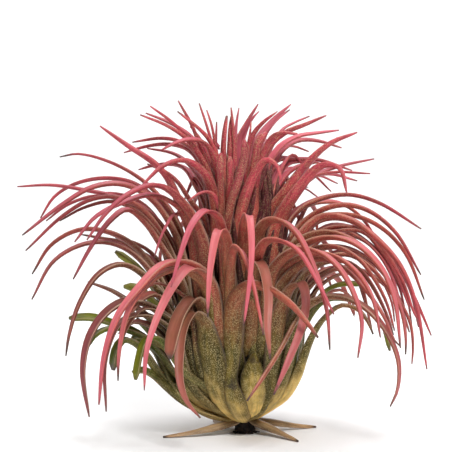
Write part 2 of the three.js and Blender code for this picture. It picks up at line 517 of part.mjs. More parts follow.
// The back's leaves, spread by the golden share so that neighbours differ in level
function backLeaves() {
  const leaves = [];
  for (let i = 0; i < BACK_PLACES; i += BACK_STEP) {
    const level = (i + 0.5) / BACK_PLACES;
    const span = mix(BACK_SPAN_OUTER, BACK_SPAN_INNER, level);
    const aside = span * (((i * GOLDEN_SHARE) % 1) - 0.5);
    const points = ['start', 'crest', 'fall', 'tip'].map((key, k) => {
      const r = mix(BACK_OUTER[key][0], BACK_INNER[key][0], level) + BACK_SPREAD * draw(i, 3 * k + 1);
      const z = mix(BACK_OUTER[key][1], BACK_INNER[key][1], level) + BACK_SPREAD * draw(i, 3 * k + 2);
      const sway = key === 'tip' ? BACK_SWAY * draw(i, 3 * k + 3) : 0;
      return around(BACK_MIDDLE + aside * BACK_GATHER[key], r, z, sway);
    });
    leaves.push(makeLeaf(points, mix(BACK_OUTER.width, BACK_INNER.width, level), false));
  }
  return leaves;
}

function propLeaves() {
  return PROP_TURNS.map((turn, i) => {
    const long = 1 + PROP_UNEVEN * draw(i, DRAWS.length);
    const bend = PROP_BEND * draw(i, DRAWS.bend);
    const line = PROP_COURSE.map(([r, z]) => around(turn, r * long, z, bend * (r / PROP_LONG) ** 2));
    return makeWholeLeaf(line, PROP_COURSE.map((point) => point[2]), false, true);
  });
}

function listedLeaves(list, wider, blunt) {
  return list.map((entry) => makeLeaf(course(entry), entry[2] * wider, blunt));
}

function wholeLeaves(list, blunt) {
  return list.map((points) => makeWholeLeaf(
    points.map(([across, up, depth]) => seen([across, up], depth)),
    points.map((point) => point[3]),
    blunt,
    false,
  ));
}

function rosette() {
  const leaves = [
    ...listedLeaves(CROWN, WIDER.crown, false),
    ...listedLeaves(LEFT_ARCHES, WIDER.left, false),
    ...listedLeaves(RIGHT_ARCHES, WIDER.right, false),
    ...listedLeaves(FRONT, WIDER.front, false),
    ...listedLeaves(TRIMMED, WIDER.trimmed, true),
    ...wholeLeaves(BASE, false),
    ...wholeLeaves(BASE_CUT, true),
    ...backLeaves(),
    ...propLeaves(),
  ];
  const solids = leaves.map((leaf) => toSolid(leafGeometry(leaf)));
  const clear = toSolid(turnedGeometry(ROOT_CLEAR, ROOT_CLEAR_SIDES));
  const joined = join([toSolid(coreGeometry()), ...solids], clear);
  return new THREE.Mesh(
    toGeometry(joined),
    new THREE.MeshStandardMaterial({ color: LEAF_COLOUR, roughness: LEAF_ROUGH, metalness: 0 }),
  );
}

// The root stub: a rough, many-sided lump with short broken rootlets, flat below and above
function rootStub() {
  const ring = [];
  ROOT_LEVELS.forEach(([wide, high], level) => {
    for (let k = 0; k < ROOT_SIDES; k += 1) {
      const a = (k / ROOT_SIDES) * Math.PI * 2;
      const size = wide * (level === 0 ? 1 : 1 + ROOT_ROUGH * draw(k, level));
      const across = Math.cos(a) * size * ROOT_WIDTH / 2;
      ring.push(vec(across, Math.sin(a) * size * ROOT_DEPTH / 2, high * ROOT_HEIGHT));
    }
  });
  const solids = [toSolid(tubeGeometry(ring, ROOT_SIDES, ROOT_LEVELS.length))];
  for (let i = 0; i < ROOTLETS; i += 1) {
    const turn = i * 360 * GOLDEN_SHARE;
    const reach = ROOT_WIDTH / 2 + mix(...ROOTLET_REACH, (draw(i, DRAWS.rootlet) + 1) / 2);
    const from = around(turn, 0, ROOT_HEIGHT * ROOTLET_HEIGHT[0]);
    const to = around(turn, reach, ROOT_HEIGHT * ROOTLET_HEIGHT[1]);
    solids.push(toSolid(stick(from, to)));
  }
  return new THREE.Mesh(
    toGeometry(join(solids)),
    new THREE.MeshStandardMaterial({ color: ROOT_COLOUR, roughness: ROOT_DULL, metalness: 0 }),
  );
}

// A short stick from one point to another, thinner at its broken end
function stick(from, to) {
  const along = to.clone().sub(from).normalize();
  const side = along.clone().cross(vec(0, 0, 1)).normalize();
  const up = side.clone().cross(along);
  const ring = [];
  [from, to].forEach((at, end) => {
    const radius = ROOTLET_THICK[end] / 2;
    for (let k = 0; k < ROOTLET_SIDES; k += 1) {
      const a = (k / ROOTLET_SIDES) * Math.PI * 2;
      ring.push(at.clone()
        .addScaledVector(side, Math.cos(a) * radius)
        .addScaledVector(up, Math.sin(a) * radius));
    }
  });
  return tubeGeometry(ring, ROOTLET_SIDES, 2);
}

const plant = new THREE.Group();
const leaves = rosette();
leaves.name = 'leaf_rosette';
plant.add(leaves);
const roots = rootStub();
roots.name = 'root_stub';
plant.add(roots);

export default plant;
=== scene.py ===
"""A large sky plant: a rosette of narrow, channelled leaves that arch out and droop, olive and
silver at the foot and coral pink at the tips, on a broken stub of black roots. Metres, +Z up,
the front is -Y. The leaf courses are written in millimetres, as the front view shows them."""

import math

import bpy
import numpy as np
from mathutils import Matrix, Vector


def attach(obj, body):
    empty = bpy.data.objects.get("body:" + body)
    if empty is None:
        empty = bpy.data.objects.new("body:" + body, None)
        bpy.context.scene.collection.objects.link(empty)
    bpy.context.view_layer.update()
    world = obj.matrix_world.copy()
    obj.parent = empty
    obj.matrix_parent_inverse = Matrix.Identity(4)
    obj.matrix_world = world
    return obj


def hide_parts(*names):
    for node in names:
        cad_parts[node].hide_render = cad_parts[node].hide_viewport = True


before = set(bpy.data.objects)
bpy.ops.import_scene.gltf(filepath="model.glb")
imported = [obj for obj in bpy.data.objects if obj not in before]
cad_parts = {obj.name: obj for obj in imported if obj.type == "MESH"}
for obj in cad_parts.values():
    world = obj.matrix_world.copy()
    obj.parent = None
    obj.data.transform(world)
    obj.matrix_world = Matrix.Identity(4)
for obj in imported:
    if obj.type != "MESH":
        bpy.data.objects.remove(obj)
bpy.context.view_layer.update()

MM = 0.001

# Where the eye stands when the leaf courses are read off, in millimetres
EYE_FAR = 650
EYE_SIDE = -7.5
EYE_HIGH = 106

# Camera: the photograph's frame in millimetres at the plant, and where it clips, in metres
VIEW_SIDE = -7.5
VIEW_HIGH = 78
VIEW_WIDE = 169.5
SENSOR = 36
CLIP_NEAR = 0.05
CLIP_FAR = 20

# Where a leaf leaves the stem: lower for a leaf that spreads, higher for one that stands, and how
# far the stem leans to the left with each millimetre of height
FOOT_LOW = 6.5
FOOT_HIGH = 58
FOOT_SLOPE = 1.3
FOOT_LIFT = 18
FOOT_RISE = 0.8
STEM_LEAN = -0.05

# The belly of the sheath, as shares of the way from the foot to the course's first point, and
# how far above the foot that point lies before there is one
BELLY_OUT = 0.72
BELLY_UP = 0.34
BELLY_FROM = 22

# Leaf widths: the sheath as a multiple of the blade, for low and for high leaves, its least, and
# the shares of the length where it is full and ends; then how a tip or a blunt end narrows
SHEATH_LOW = 2.5
SHEATH_HIGH = 1.9
SHEATH_LEAST = 7.5
SHEATH_ENTRY = 0.6
SHEATH_FULL = 0.15
SHEATH_END = 0.55
TAPER_SHARE = 0.5
TAPER_POWER = 0.66
BLUNT_NARROW = 0.8
BLUNT_ROUND = 0.03
BLUNT_END = 1.004
TIP_WIDE = 0.35
WIDTH_SOFT = 9
WIDTH_FINE = 4

# The flush of a leaf's colour: how much of it each millimetre of height brings, how much its end
# adds, and from which share of its length
FLUSH_UP = 0.0105
FLUSH_OUT = 0.35
FLUSH_FROM = 0.35

# How much one leaf is lighter or darker than another at random, the heights, where leaves start,
# between which a group's painted light and shade on its lowest leaves fades out, and how much the
# tone of the foot's leaves varies
SHADE_SPREAD = 0.15
SHADE_LOW = 35
SHADE_HIGH = 104
WHOLE_VARY = 0.25

# Leaf section as shares of its width: how deep the back and the channel are, with the shares of
# the length where the sheath goes over into the blade and the blade into the tip, the powers of
# their curves, the least wall in millimetres, and how far a leaf rolls, in degrees
BACK_DEEP = {"sheath": 0.4, "blade": 0.52, "tip": 0.6}
CHANNEL_DEEP = {"sheath": 0.32, "blade": 0.26, "tip": 0.15}
TO_BLADE = (0.15, 0.5)
TO_TIP = (0.7, 1)
BACK_POWER = 0.9
CHANNEL_POWER = 1.5
CHANNEL_WIDE = 0.96
WALL_LEAST = 0.3
ROLL_MOST = 16
ROLL_FROM = 0.3

# Fineness of a leaf's mesh
STATION_EVERY = 2.4
STATIONS_LEAST = 22
ACROSS_BACK = 9
ACROSS_CHANNEL = 5
CURVE_STEPS = 12

# How far apart the leaves, and a leaf's two faces, lie in the materials' patterns
LEAF_APART = 10.0
FACE_APART = 5

# The repeatable draws: the terms of their hash, and the first number of each use
DRAW_ITEM = 12.9898
DRAW_KIND = 78.233
DRAW_SCALE = 43758.5453
DRAW_BACK = 1
DRAW_ROLL = 5
DRAW_TONE = 11
DRAW_SHADE = 13
DRAW_INNER = 21
DRAW_ROOTLET = 41
DRAW_PROP = 51

# Each leaf is (depth at its first point, depth at its tip, blade width, then its course as
# (across, up) points from the body out to the tip, as the eye sees them)
CROWN = [
    [-2, -8, 2.6, [-13, 96], [-17.5, 109], [-20.3, 116], [-25.3, 125]],
    [-6, -14, 2.4, [-9, 96], [-13, 109], [-17, 114], [-25.6, 121]],
    [2, 6, 2.4, [-9.5, 94], [-12, 107], [-14.5, 115.5], [-17.4, 124]],
    [-4, -9, 2, [-9.5, 95], [-11.5, 109], [-12.8, 116], [-14.6, 121.5]],
    [0, 2, 2.8, [-11, 96], [-14.4, 105], [-17, 110.6], [-20.8, 115.4]],
    [-3, -12, 2.8, [-13, 94], [-20, 109], [-28, 117.3], [-35.8, 123]],
    [-8, -22, 3.2, [-13, 94], [-21, 109.5], [-29, 115.5], [-39.6, 119.8]],
    [3, 8, 2.8, [-12, 96], [-20, 111], [-28, 116.5], [-37.5, 120.4]],
    [-6, -20, 5.2, [-20, 74], [-25, 87], [-29.6, 96.8], [-34.8, 102.2], [-43.6, 107.9], [-54.6, 115.6]],
    [8, 26, 3.6, [-14, 92], [-17.4, 102.4], [-21.4, 106.8], [-26.4, 108.6], [-32.4, 108.8],
     [-39, 107.6], [-45.8, 105.6]],
    [10, 28, 3, [-13, 88], [-18.6, 98], [-23, 102.8], [-28, 105.6], [-37, 107.2]],
    [6, 20, 3.2, [-13, 94], [-19, 106], [-25, 110], [-32, 111], [-42.6, 109.5]],
    [-8, -24, 3.2, [-10, 96], [-15, 109], [-21, 110.6], [-27, 109], [-31.9, 106.4]],
    [12, 34, 4, [-14, 84], [-18.6, 93.4], [-22.4, 99.4], [-27, 101.3], [-34.6, 100.8], [-40.3, 99.2]],
    [-10, -26, 4.2, [-12, 88], [-16, 98], [-23, 102.9], [-31, 100.8], [-39.4, 93]],
    [-14, -24, 2.6, [-9, 82], [-13, 90.5], [-17, 90.6], [-21.8, 87.5]],
    [2, 6, 3, [-4, 94], [-3, 110], [0.5, 117], [4.6, 123.6]],
    [6, 14, 2.4, [-3, 96], [-1, 111], [2, 117.8], [4.9, 120.9]],
    [-6, -12, 1.8, [0, 96], [0.8, 108], [1.5, 113], [1.9, 117.2]],
    [6, 10, 2, [-3.5, 96], [-4, 110], [-3.5, 117], [-2.6, 122.3]],
    [4, 8, 1.8, [-10, 96], [-11.2, 106], [-11.1, 112], [-10.9, 117]],
    [-4, -8, 2.4, [-5, 92], [-4.2, 106], [-4.9, 116], [-5.5, 122.4]],
    [-1, -3, 5.4, [-7.5, 90], [-8.2, 104], [-8, 112], [-7.2, 119.3]],
    [-3, -6, 4, [-6, 96], [-6, 108], [-5.9, 114], [-5.5, 119]],
    [-5, -9, 2.8, [-8.5, 92], [-8.2, 105], [-7.8, 112], [-6.9, 119.3]],
    [2, 8, 3.2, [0, 96], [4.5, 110.5], [10, 117.5], [16.8, 123.6]],
    [8, 16, 2.8, [2, 96], [6, 110.5], [11, 117.5], [16.4, 121.6]],
    [-2, -8, 2.6, [-1, 96], [2, 111], [6, 116.5], [11.8, 120.9]],
    [12, 24, 1.8, [6, 98], [13, 113.5], [18, 116.8], [23.7, 119.2]],
    [-2, -8, 3.2, [4, 94], [9, 108], [15, 113.2], [22, 116], [30, 119.5]],
    [6, 14, 2.8, [6, 94], [12, 107], [19, 111.6], [27, 113], [34.8, 114]],
    [-10, -24, 2.4, [4, 96], [9, 110.5], [13, 113], [19.3, 112.7]],
    [10, 30, 3.4, [6, 90], [12, 105], [19, 110], [27, 110], [35.8, 107.4]],
    [16, 34, 2.4, [8, 94], [14, 107], [18, 108], [23.5, 106]],
    [-4, -12, 4.4, [8, 80], [15.6, 92], [23.4, 102], [31.4, 109], [41.6, 113.2]],
    [2, 8, 3.4, [12, 86], [20, 97], [27, 105], [34, 111.2]],
    [18, 36, 2.8, [14, 84], [25.6, 96.8], [35, 100.5], [48, 103.3]],
    [10, 30, 3.2, [5, 90], [11, 102.6], [19, 103.2], [28, 102.8], [39.8, 98.9]],
    [8, 20, 2.6, [12, 82], [22.6, 95.4], [32, 98.3], [46.5, 97.8]],
    [24, 40, 2.6, [10, 82], [22, 95.4], [31, 97.6], [41.7, 95]],
    [20, 50, 2.2, [9, 80], [20, 93], [27, 97], [34.4, 94]],
    [-10, -30, 5, [12, 78], [20, 92], [28.6, 100.8], [35.2, 99.8], [37.9, 90.4]],
    [-12, -26, 3.8, [-2, 82], [3, 97], [8, 102.8], [12, 100], [13.2, 94.8]],
    [14, 44, 2.8, [6, 84], [11, 96], [17, 99.6], [24, 98.4], [32, 91]],
    [10, 26, 3.8, [5, 82], [10.4, 95], [15.4, 101.4], [21, 102.4], [28, 101.6]],
    [4, 10, 4, [6, 82], [11, 92], [15.8, 98.2], [20.4, 100.8], [27, 102]],
    [28, 44, 1.6, [9, 80], [16.4, 89.6], [21.4, 92.4], [27.4, 88.6]],
]

# Upright leaves of the crown whose ends are folded or worn off
CROWN_CUT = [
    [-15, -27, 3.6, [-8.4, 70], [-7.2, 78], [-5.4, 87.6], [-2.9, 95.5], [-0.8, 104], [-0.6, 110.4]],
    [-13, -27, 3.1, [-9, 78], [-9.4, 92], [-9.8, 100], [-9.4, 105.4]],
    [-6, -16, 3.8, [-1, 82], [1.6, 94], [3.4, 102.6], [4.8, 109.4], [7.8, 113]],
    [-10, -20, 3.2, [-7.4, 80], [-6.2, 93], [-6, 104]],
]

LEFT_ARCHES = [
    [4, 14, 3.2, [-25, 78], [-33, 90], [-41, 97], [-52, 102.6], [-63, 105.2], [-69.8, 104]],
    [2, 0, 3.6, [-27, 70], [-36, 83], [-47, 88.6], [-60, 91.6], [-73, 93.5], [-85.7, 92.9]],
    [6, 18, 3.8, [-25, 74], [-34, 88], [-43, 94.6], [-53, 96.2], [-64, 94], [-72, 89], [-77.2, 81]],
    [-4, -14, 3.8, [-25, 72], [-35, 88], [-46, 93.8], [-57, 92.9], [-68, 86.8], [-84, 74.6]],
    [8, 22, 3.2, [-26, 66], [-37, 82], [-47, 88], [-57, 89.3], [-67, 86], [-75, 80]],
    [-2, -8, 3.8, [-27, 66], [-38, 84], [-48, 89], [-58, 88.2], [-69, 81.8], [-82.8, 68.8]],
    [-14, -43, 4.2, [-17, 74], [-24, 87], [-33, 93.5], [-43, 90.8], [-52, 83.5], [-59.8, 72.8]],
    [-10, -36, 3.6, [-17, 70], [-25, 85], [-35, 89.8], [-46, 87], [-56.6, 81.4], [-64.4, 72]],
    [-6, -26, 3.8, [-24, 57], [-32.6, 72], [-38, 79.6], [-44.6, 84.4], [-51, 80], [-58, 70.5],
     [-65, 58]],
    [-2, 2, 4.4, [-23, 48], [-28.8, 63], [-32.6, 74], [-37.6, 81], [-45, 84.6]],
    [2, 4, 4, [-22, 38], [-26.8, 51], [-31, 60], [-36, 66.5], [-42, 69.5]],
    [-2, -6, 4.4, [-31, 56], [-41, 70], [-51, 75.8], [-62, 76.9], [-73, 71.2], [-80.4, 60]],
    [8, 20, 4.4, [-30, 52], [-38.4, 65.4], [-46.5, 72], [-54, 73.6], [-62, 75]],
    [-6, -16, 3.8, [-30, 50], [-39, 65], [-49, 71.4], [-60, 71.6], [-72.2, 65], [-80.6, 50.4]],
    [-10, -31, 4, [-26, 42], [-36, 57.4], [-46, 63.8], [-55, 60.4], [-62.6, 49.2], [-66.6, 37],
     [-67.9, 29]],
    [-12, -36, 4.4, [-24, 36], [-34, 47], [-44, 50], [-52.4, 45.6], [-59, 36], [-61.4, 23],
     [-59.1, 5.9]],
    [-12, -43, 3, [-24, 34], [-36, 44.4], [-47, 42], [-52.8, 28], [-52.7, 8]],
    [-18, -31, 2.6, [-22, 50], [-30, 55.8], [-35, 56.4], [-40, 52]],
    [-14, -34, 2.6, [-24, 38], [-33, 46], [-39, 46.8], [-44, 41], [-47, 34]],
    [-10, -26, 1.8, [-18, 72], [-26, 83], [-30, 78], [-33, 71], [-34.5, 66]],
    [4, 10, 4.2, [-25, 60], [-30.6, 76.4], [-37.6, 85.6], [-46.6, 89.8], [-58, 90.6]],
    [-2, -4, 3.8, [-25, 60], [-32, 74], [-40.5, 83.6], [-50, 87.4], [-61, 85], [-70, 80]],
    [4, 8, 4.4, [-25, 52], [-30.6, 62], [-36, 68.6], [-42, 72], [-49, 73.8]],
    [6, 14, 5.2, [-28, 35], [-40, 46.6], [-49.4, 53.4], [-59.4, 57.2]],
    [2, 12, 4.4, [-14, 78], [-21.2, 88.4], [-25.4, 94.6], [-30.4, 98.6], [-37, 101.4]],
    [2, -4, 4.6, [-24, 26], [-31.4, 36.6], [-37, 41.2], [-43, 41.8], [-48, 37.5]],
]

RIGHT_ARCHES = [
    [4, 10, 3.8, [14, 76], [20, 84.5], [29, 88.8], [39, 90], [50, 86.8], [65.8, 77]],
    [-2, -8, 4, [16, 72], [25, 82.5], [36, 86.2], [46, 84], [56.2, 75.8], [65.8, 59.7]],
    [6, 16, 3.6, [20, 72], [29, 81.5], [39.2, 82.4], [50.4, 77.8], [59.9, 67.9], [67.1, 50.3]],
    [-6, -18, 4.2, [18, 70], [28, 81.5], [38, 81], [48, 74.5], [58, 63.5], [64, 49], [68.3, 24]],
    [10, 24, 3.4, [20, 66], [31, 78], [43, 76.5], [55, 66], [63, 52], [69.8, 36.8]],
    [-12, -41, 3.6, [14, 66], [24, 74.5], [34, 75.5], [44, 70], [53.2, 58.6], [58.6, 46],
     [60.2, 36], [60.2, 29.6]],
    [-14, -48, 3.8, [13, 62], [22, 71], [32, 74], [42, 71], [51, 62], [56, 50], [58.2, 32]],
    [2, 4, 3.6, [18, 64], [28, 76.5], [38, 78], [48, 74.5], [57, 65], [62.5, 52], [65, 40]],
    [0, 2, 3, [19, 62], [29, 74], [37.6, 76.8], [44.6, 75.6], [49.8, 70], [55, 62.6], [59, 54],
     [62, 46]],
    [6, 12, 3.4, [18, 58], [27, 69], [37, 70], [47, 65], [56, 54], [62.6, 40]],
    [-16, -53, 3.8, [12, 58], [23, 67], [33, 67], [42, 60.5], [48, 50], [50.7, 36]],
    [-12, -40, 4.2, [17, 40], [23, 48], [30, 51.5], [38, 51], [46, 46.5], [53.1, 38], [57.5, 27],
     [57.1, 16], [54.4, 9.8]],
    [-18, -50, 3.8, [13, 54], [22, 64], [30, 65.6], [38, 61.5], [46, 53], [52, 44], [56, 35], [58, 33]],
    [12, 26, 2.8, [14, 78], [22, 85.5], [31, 87.3], [38, 85.6], [45, 79.5], [50, 70], [54, 62],
     [58, 54]],
    [8, 14, 3, [19, 66], [26, 74], [33, 78], [39, 77.8], [47, 74], [54, 66.5], [60, 54], [62.5, 41]],
    [4, 6, 3, [18, 64], [26, 73.5], [35, 75.4], [43, 73.5], [51, 67], [57, 57], [60, 46]],
    [0, 2, 3.4, [17, 70], [27, 80], [36, 81], [44, 77.4], [52, 68.5], [59, 57], [63.5, 45], [66, 41]],
    [-8, -20, 3.4, [17, 58], [25, 69], [33.6, 70.4], [42.6, 65.6], [48.8, 57.4], [53.2, 48.6],
     [56, 38.6]],
    [2, 2, 3.2, [18, 66], [28, 75], [37, 76.6], [45.6, 72], [51.8, 65], [56, 56], [58.6, 46.6]],
    [-6, -16, 3.8, [18, 54], [28, 64], [37, 65], [43, 61.6], [47.2, 56.2], [50.8, 49.6],
     [53.8, 42.8], [55.6, 37]],
    [-4, -10, 3.4, [19, 56], [28, 65], [38, 67.5], [47, 62.5], [54, 54], [58.8, 46], [61.6, 38]],
    [6, 8, 2.4, [24, 48], [31, 53], [36, 54], [39.6, 51], [41, 44.6]],
    [6, 10, 2.4, [24, 51], [34, 59.6], [40.6, 59.8], [44.4, 51], [46.6, 43], [47.6, 38.4]],
    [10, 20, 3, [22, 56], [33, 68], [43, 67], [51, 58], [55, 49], [56, 42]],
    [0, -4, 3.6, [21, 52], [33, 62], [44.6, 61], [55.8, 52.6], [61.8, 42], [63, 33], [62.6, 26]],
    [-20, -60, 3.8, [10, 60], [19, 69], [27, 68.5], [34, 63.5], [40, 54], [43.6, 42], [42.2, 28.2]],
    [4, 8, 3.2, [20, 48], [27, 60.4], [35, 62.6], [41.4, 60], [45, 51], [46.4, 42]],
]

FRONT = [
    [-20, -55, 4.2, [-8, 66], [-10.5, 81], [-15.5, 83.7], [-20.5, 78], [-25, 66], [-28.2, 55]],
    [-20, -52, 4.6, [-6.5, 60], [-8, 74.5], [-10.5, 76], [-12.8, 66], [-14, 54], [-14.4, 43.5]],
    [-16, -55, 3.8, [-1.5, 66], [-0.5, 79], [1, 81.8], [2, 72], [1.6, 60], [-0.8, 40.5]],
    [-22, -55, 3.6, [-6, 58], [-4.5, 69.5], [-1.5, 68.5], [1.5, 61], [4.2, 50], [6.8, 37]],
    [-14, -58, 4, [3, 64], [6, 77.5], [12, 80.4], [19, 75.5], [26, 61.5], [30.5, 46], [31.7, 31.3]],
    [-20, -60, 4, [3, 60], [7, 71.5], [13, 72.7], [20, 68.5], [27, 57], [33.2, 44.8]],
    [-20, -60, 4.8, [-14, 56], [-22, 64], [-31, 63.5], [-40, 55], [-48.3, 44], [-53.4, 29],
     [-55.5, 10.6]],
    [-20, -58, 4, [-15, 54], [-23, 61.5], [-31.4, 60.4], [-38.8, 54], [-44, 46.5],
     [-46.6, 37.6], [-48, 27], [-48.2, 19.6]],
    [-13, -58, 4.4, [-12.6, 52], [-17, 61], [-22, 62], [-28, 54.5], [-34, 42], [-37.5, 30],
     [-38.3, 16]],
]

TRIMMED = [
    [2, 6, 4.4, [-29, 44], [-35.4, 56], [-41.4, 63], [-49, 68.6]],
    [-10, -18, 4.4, [-26, 22], [-33, 31], [-38.4, 35.2], [-42.4, 35.4], [-43.6, 34]],
    [-2, -4, 5.4, [-26, 41], [-34, 49], [-40.4, 54.8], [-46, 55.4]],
    [-14, -30, 3.4, [-28, 30], [-44, 38.6], [-52, 39.6], [-58, 36], [-60, 32]],
    [-9, -24, 4.6, [-29, 18.6], [-33.8, 24], [-37.6, 29.6], [-41.6, 34], [-46, 35.4], [-49, 31],
     [-50, 23.6]],
    [-18, -30, 3.4, [-24, 24], [-33, 36], [-38, 35], [-40.3, 28], [-41.6, 20]],
    [4, 8, 3.6, [-24, 19], [-31.6, 31], [-36.4, 38.4], [-41, 43.4]],
    [-2, -10, 3.4, [22, 42], [30, 54], [38, 56.6], [44, 56]],
    [-10, -26, 2.6, [20, 36], [29, 49.6], [37, 50.6], [45.4, 48], [51.4, 41], [54.3, 31]],
]

# The leaves whose swollen sheaths make the foot: first the flush of the leaf's colour, how much
# more its end flushes and its painted light and tone (above 1 it lightens a leaf that lies in
# shadow, below 1 it darkens one as painted shade, and it also evens the leaf's own tone), then
# its whole course from the stem to the tip, as (across, up, depth, width) points
BASE = [
    [-0.03, 0.25, 0.78, [-3, 5, -3, 5], [-9, 10.5, -10.5, 8], [-12, 18, -15, 11],
     [-12.8, 26, -17, 11.6],
     [-14.6, 34, -18.5, 10], [-16, 41.5, -20, 6.8], [-19.6, 45.6, -25, 4.2], [-23.4, 40, -33, 3.8],
     [-24.9, 30, -39, 3.6], [-24.6, 19, -44, 2.8], [-22, 11.5, -47, 1.8], [-17.2, 5.6, -49, 0.5]],
    [0.04, 0.14, 1, [-1.2, 5.2, -5, 5.6], [-2.2, 6.8, -12.4, 8], [-4.6, 12.6, -17.2, 8.6],
     [-6, 19.8, -18.4, 5.4], [-5.6, 25, -18.5, 5.8], [-5.4, 32, -19, 8.2],
     [-5.2, 39, -19.6, 8.6], [-4.6, 48.4, -22, 8], [0.5, 55.4, -30, 4],
     [8, 54.4, -40, 3.4], [17, 48.4, -49, 2.8], [23.5, 41, -53, 2], [27.2, 36, -56, 0.6]],
    [0.06, 0.2, 0.8, [-3, 6, -1, 4], [-12, 9.6, -9, 6], [-20.2, 17.5, -12.5, 7], [-24, 27, -13.5, 7],
     [-26, 37, -13.5, 5.4], [-29, 46, -14, 4.4], [-34, 52.6, -17, 3.6], [-40, 50, -21, 3.2],
     [-45, 42, -24, 2.2], [-47, 35, -26, 0.6]],
    [-0.06, 0.1, 1, [1, 6, -3, 5], [2.6, 16, -11, 6], [3, 28.8, -14.6, 3.4], [3.3, 36, -15.4, 6],
     [3.2, 44, -16.5, 6.4], [2.4, 56, -19, 6], [3.4, 64.4, -26, 4.2], [6.4, 62, -36, 3.8],
     [8.3, 52, -44, 3.4], [8, 40, -49, 2.8], [9.2, 28, -52, 0.6]],
    [0.1, 0.2, 1, [1.5, 5.6, -3, 4], [5, 8.4, -11, 6.4], [8.2, 14, -14.6, 6.6], [9.8, 22, -16.6, 7],
     [11, 32, -17.6, 7.4], [12.6, 43, -18.5, 7.2], [16, 53.6, -22, 4.6], [20.6, 56.4, -31, 3.6],
     [22.6, 49, -41, 3.1], [21, 40, -47, 3.1], [16, 27, -54, 2.5], [10.4, 14.4, -57, 0.6]],
    [-0.02, 0.4, 0.95, [2.5, 5.6, -2, 4], [7.4, 9.4, -10, 6], [12, 14.5, -13.4, 6.4], [15, 22, -15, 6],
     [17.4, 33, -16.6, 5.4], [19.4, 42.4, -21, 4], [18, 41.5, -32, 3], [13, 32, -41, 2.8],
     [6.5, 21.5, -49, 2.2], [0.3, 12.2, -54, 0.6]],
    [-0.1, 0.18, 1.2, [3, 5.6, -1, 4], [9, 9.6, -7, 6.2], [15, 14.2, -10, 7], [19.2, 21.5, -11, 7],
     [21.8, 29, -11, 5.4], [24.8, 36.5, -11, 4.2], [29.4, 43.6, -11.5, 3.4], [36, 48.4, -13, 2.9],
     [42.5, 46.6, -15, 2.8], [46, 42, -15.6, 1.8], [48, 37.3, -16, 0.5]],
]

# Leaves of the foot with their ends cut or worn off, in the same form: two that live, and an old one
BASE_CUT = [
    [0, 0.05, 1, [-3, 8, -2, 5], [-11, 20, -12, 8], [-14, 36, -15, 8], [-16, 47, -17, 6],
     [-19.5, 50.8, -21, 5], [-24.5, 45, -29, 5.2], [-27.2, 37, -35, 5.2], [-28.3, 31, -38, 4.2],
     [-28.6, 28, -39.5, 2.6]],
    [-0.02, 0, 1.15, [1.6, 6.6, -6, 5], [2.8, 9.2, -12.6, 9], [3.2, 15, -16.6, 10.8],
     [3, 21, -18, 10.4],
     [3, 25.6, -17.6, 7], [3.2, 28.6, -16.4, 3.4], [3.2, 31, -15, 1.2]],
]
OLD_CUT = [
    [0, 0.3, 1.3, [-4, 5, 0, 4], [-12, 7.4, -6, 6], [-20, 10.6, -9, 6.6], [-26, 16.4, -9.5, 6.6],
     [-30, 23.6, -9.5, 6.2], [-34, 31.4, -10, 5.2], [-41, 37.6, -12, 4], [-50, 41.4, -14, 3.8],
     [-58, 43.6, -16, 4], [-66.6, 43.4, -18, 3]],
]

# The lowest old leaf of the foot, in the same form
OLD_LOW = [
    [0, 0.3, 1.35, [-2, 6.2, -1, 4], [-7, 5.8, -3, 5], [-13, 7, -5, 5.6], [-19, 9.8, -7.8, 5.4],
     [-25.4, 13.6, -10.4, 5], [-31, 18.4, -12.4, 4.6], [-35.6, 22.4, -14, 4], [-39.4, 24, -15, 3.4],
     [-42.8, 22.8, -16, 2.6]],
]

# Leaves of the back, by a rule: from the outer, arching ones to the inner, upright ones.
# Each of a leaf's points is (radius, height) in the upright plane through the stem.
BACK_LEAVES = 46
BACK_MIDDLE = 88
BACK_SPAN_OUTER = 150
BACK_SPAN_INNER = 170
GOLDEN_SHARE = 0.618034
GOLDEN_TURN = 137.508
BACK_OUTER = {"start": (23, 40), "crest": (41, 62), "fall": (56, 55), "tip": (62, 36), "width": 3.8}
BACK_INNER = {"start": (9, 90), "crest": (16, 106), "fall": (23, 111), "tip": (30, 112), "width": 3.0}
BACK_GATHER = {"start": 1.0, "crest": 0.7, "fall": 0.6, "tip": 0.55}
BACK_SPREAD = 5
BACK_SWAY = 6

# Short dead leaves of the foot lie flat on the ground, as (radius, height, width) points
PROP_TURNS = (-34, 22, 74, 124, 212)
PROP_UNEVEN = 0.16
PROP_BEND = 8
PROP_REACH = 30
PROP_FLUSH = 0.3
PROP_BLUSH = 0.5
PROP_COURSE = (
    (1.5, 6.6, 4), (5, 4.9, 5.2), (10, 3.7, 5.2), (15, 2.6, 4), (21, 1.5, 2.8), (26, 0.9, 1.8),
    (29, 0.6, 0.6),
)

# The dead root: a lump, as (height, radius) points, and wiry rootlets that curl out of it. The
# lump's waves are (turns, climb, shift, strength), and a rootlet's shares (least, most more).
ROOT_SIDE = -0.3
LUMP_PROFILE = ((0, 1.8), (0.5, 3.2), (1.6, 3.8), (3, 3.5), (4.4, 3.6), (6, 3.8), (7.4, 2.4))
LUMP_SHARES = (0, 0.1, 0.28, 0.46, 0.64, 0.84, 1)
LUMP_RINGS = 22
LUMP_SIDES = 36
LUMP_FLAT = 0.9
LUMP_ROUGH = 0.075
LUMP_WAVES = ((3, 1.9, 0.4, 1), (5, -2.3, 0, 0.7), (9, 4.1, 0.8, 0.6))
ROOTLETS = 46
ROOTLET_FROM = 1.6
ROOTLET_LONG = 4.4
ROOTLET_LONG_SHARE = (0.65, 0.35)
ROOTLET_HIGH = 4.2
ROOTLET_HIGH_SHARE = (0.6, 0.4)
ROOTLET_DROP = 1.4
ROOTLET_LIFT = 0.9
ROOTLET_CURL = 1.3
ROOTLET_THICK = 0.36
ROOTLET_THIN = 0.12
ROOTLET_STEPS = 4
ROOTLET_EVERY = 3
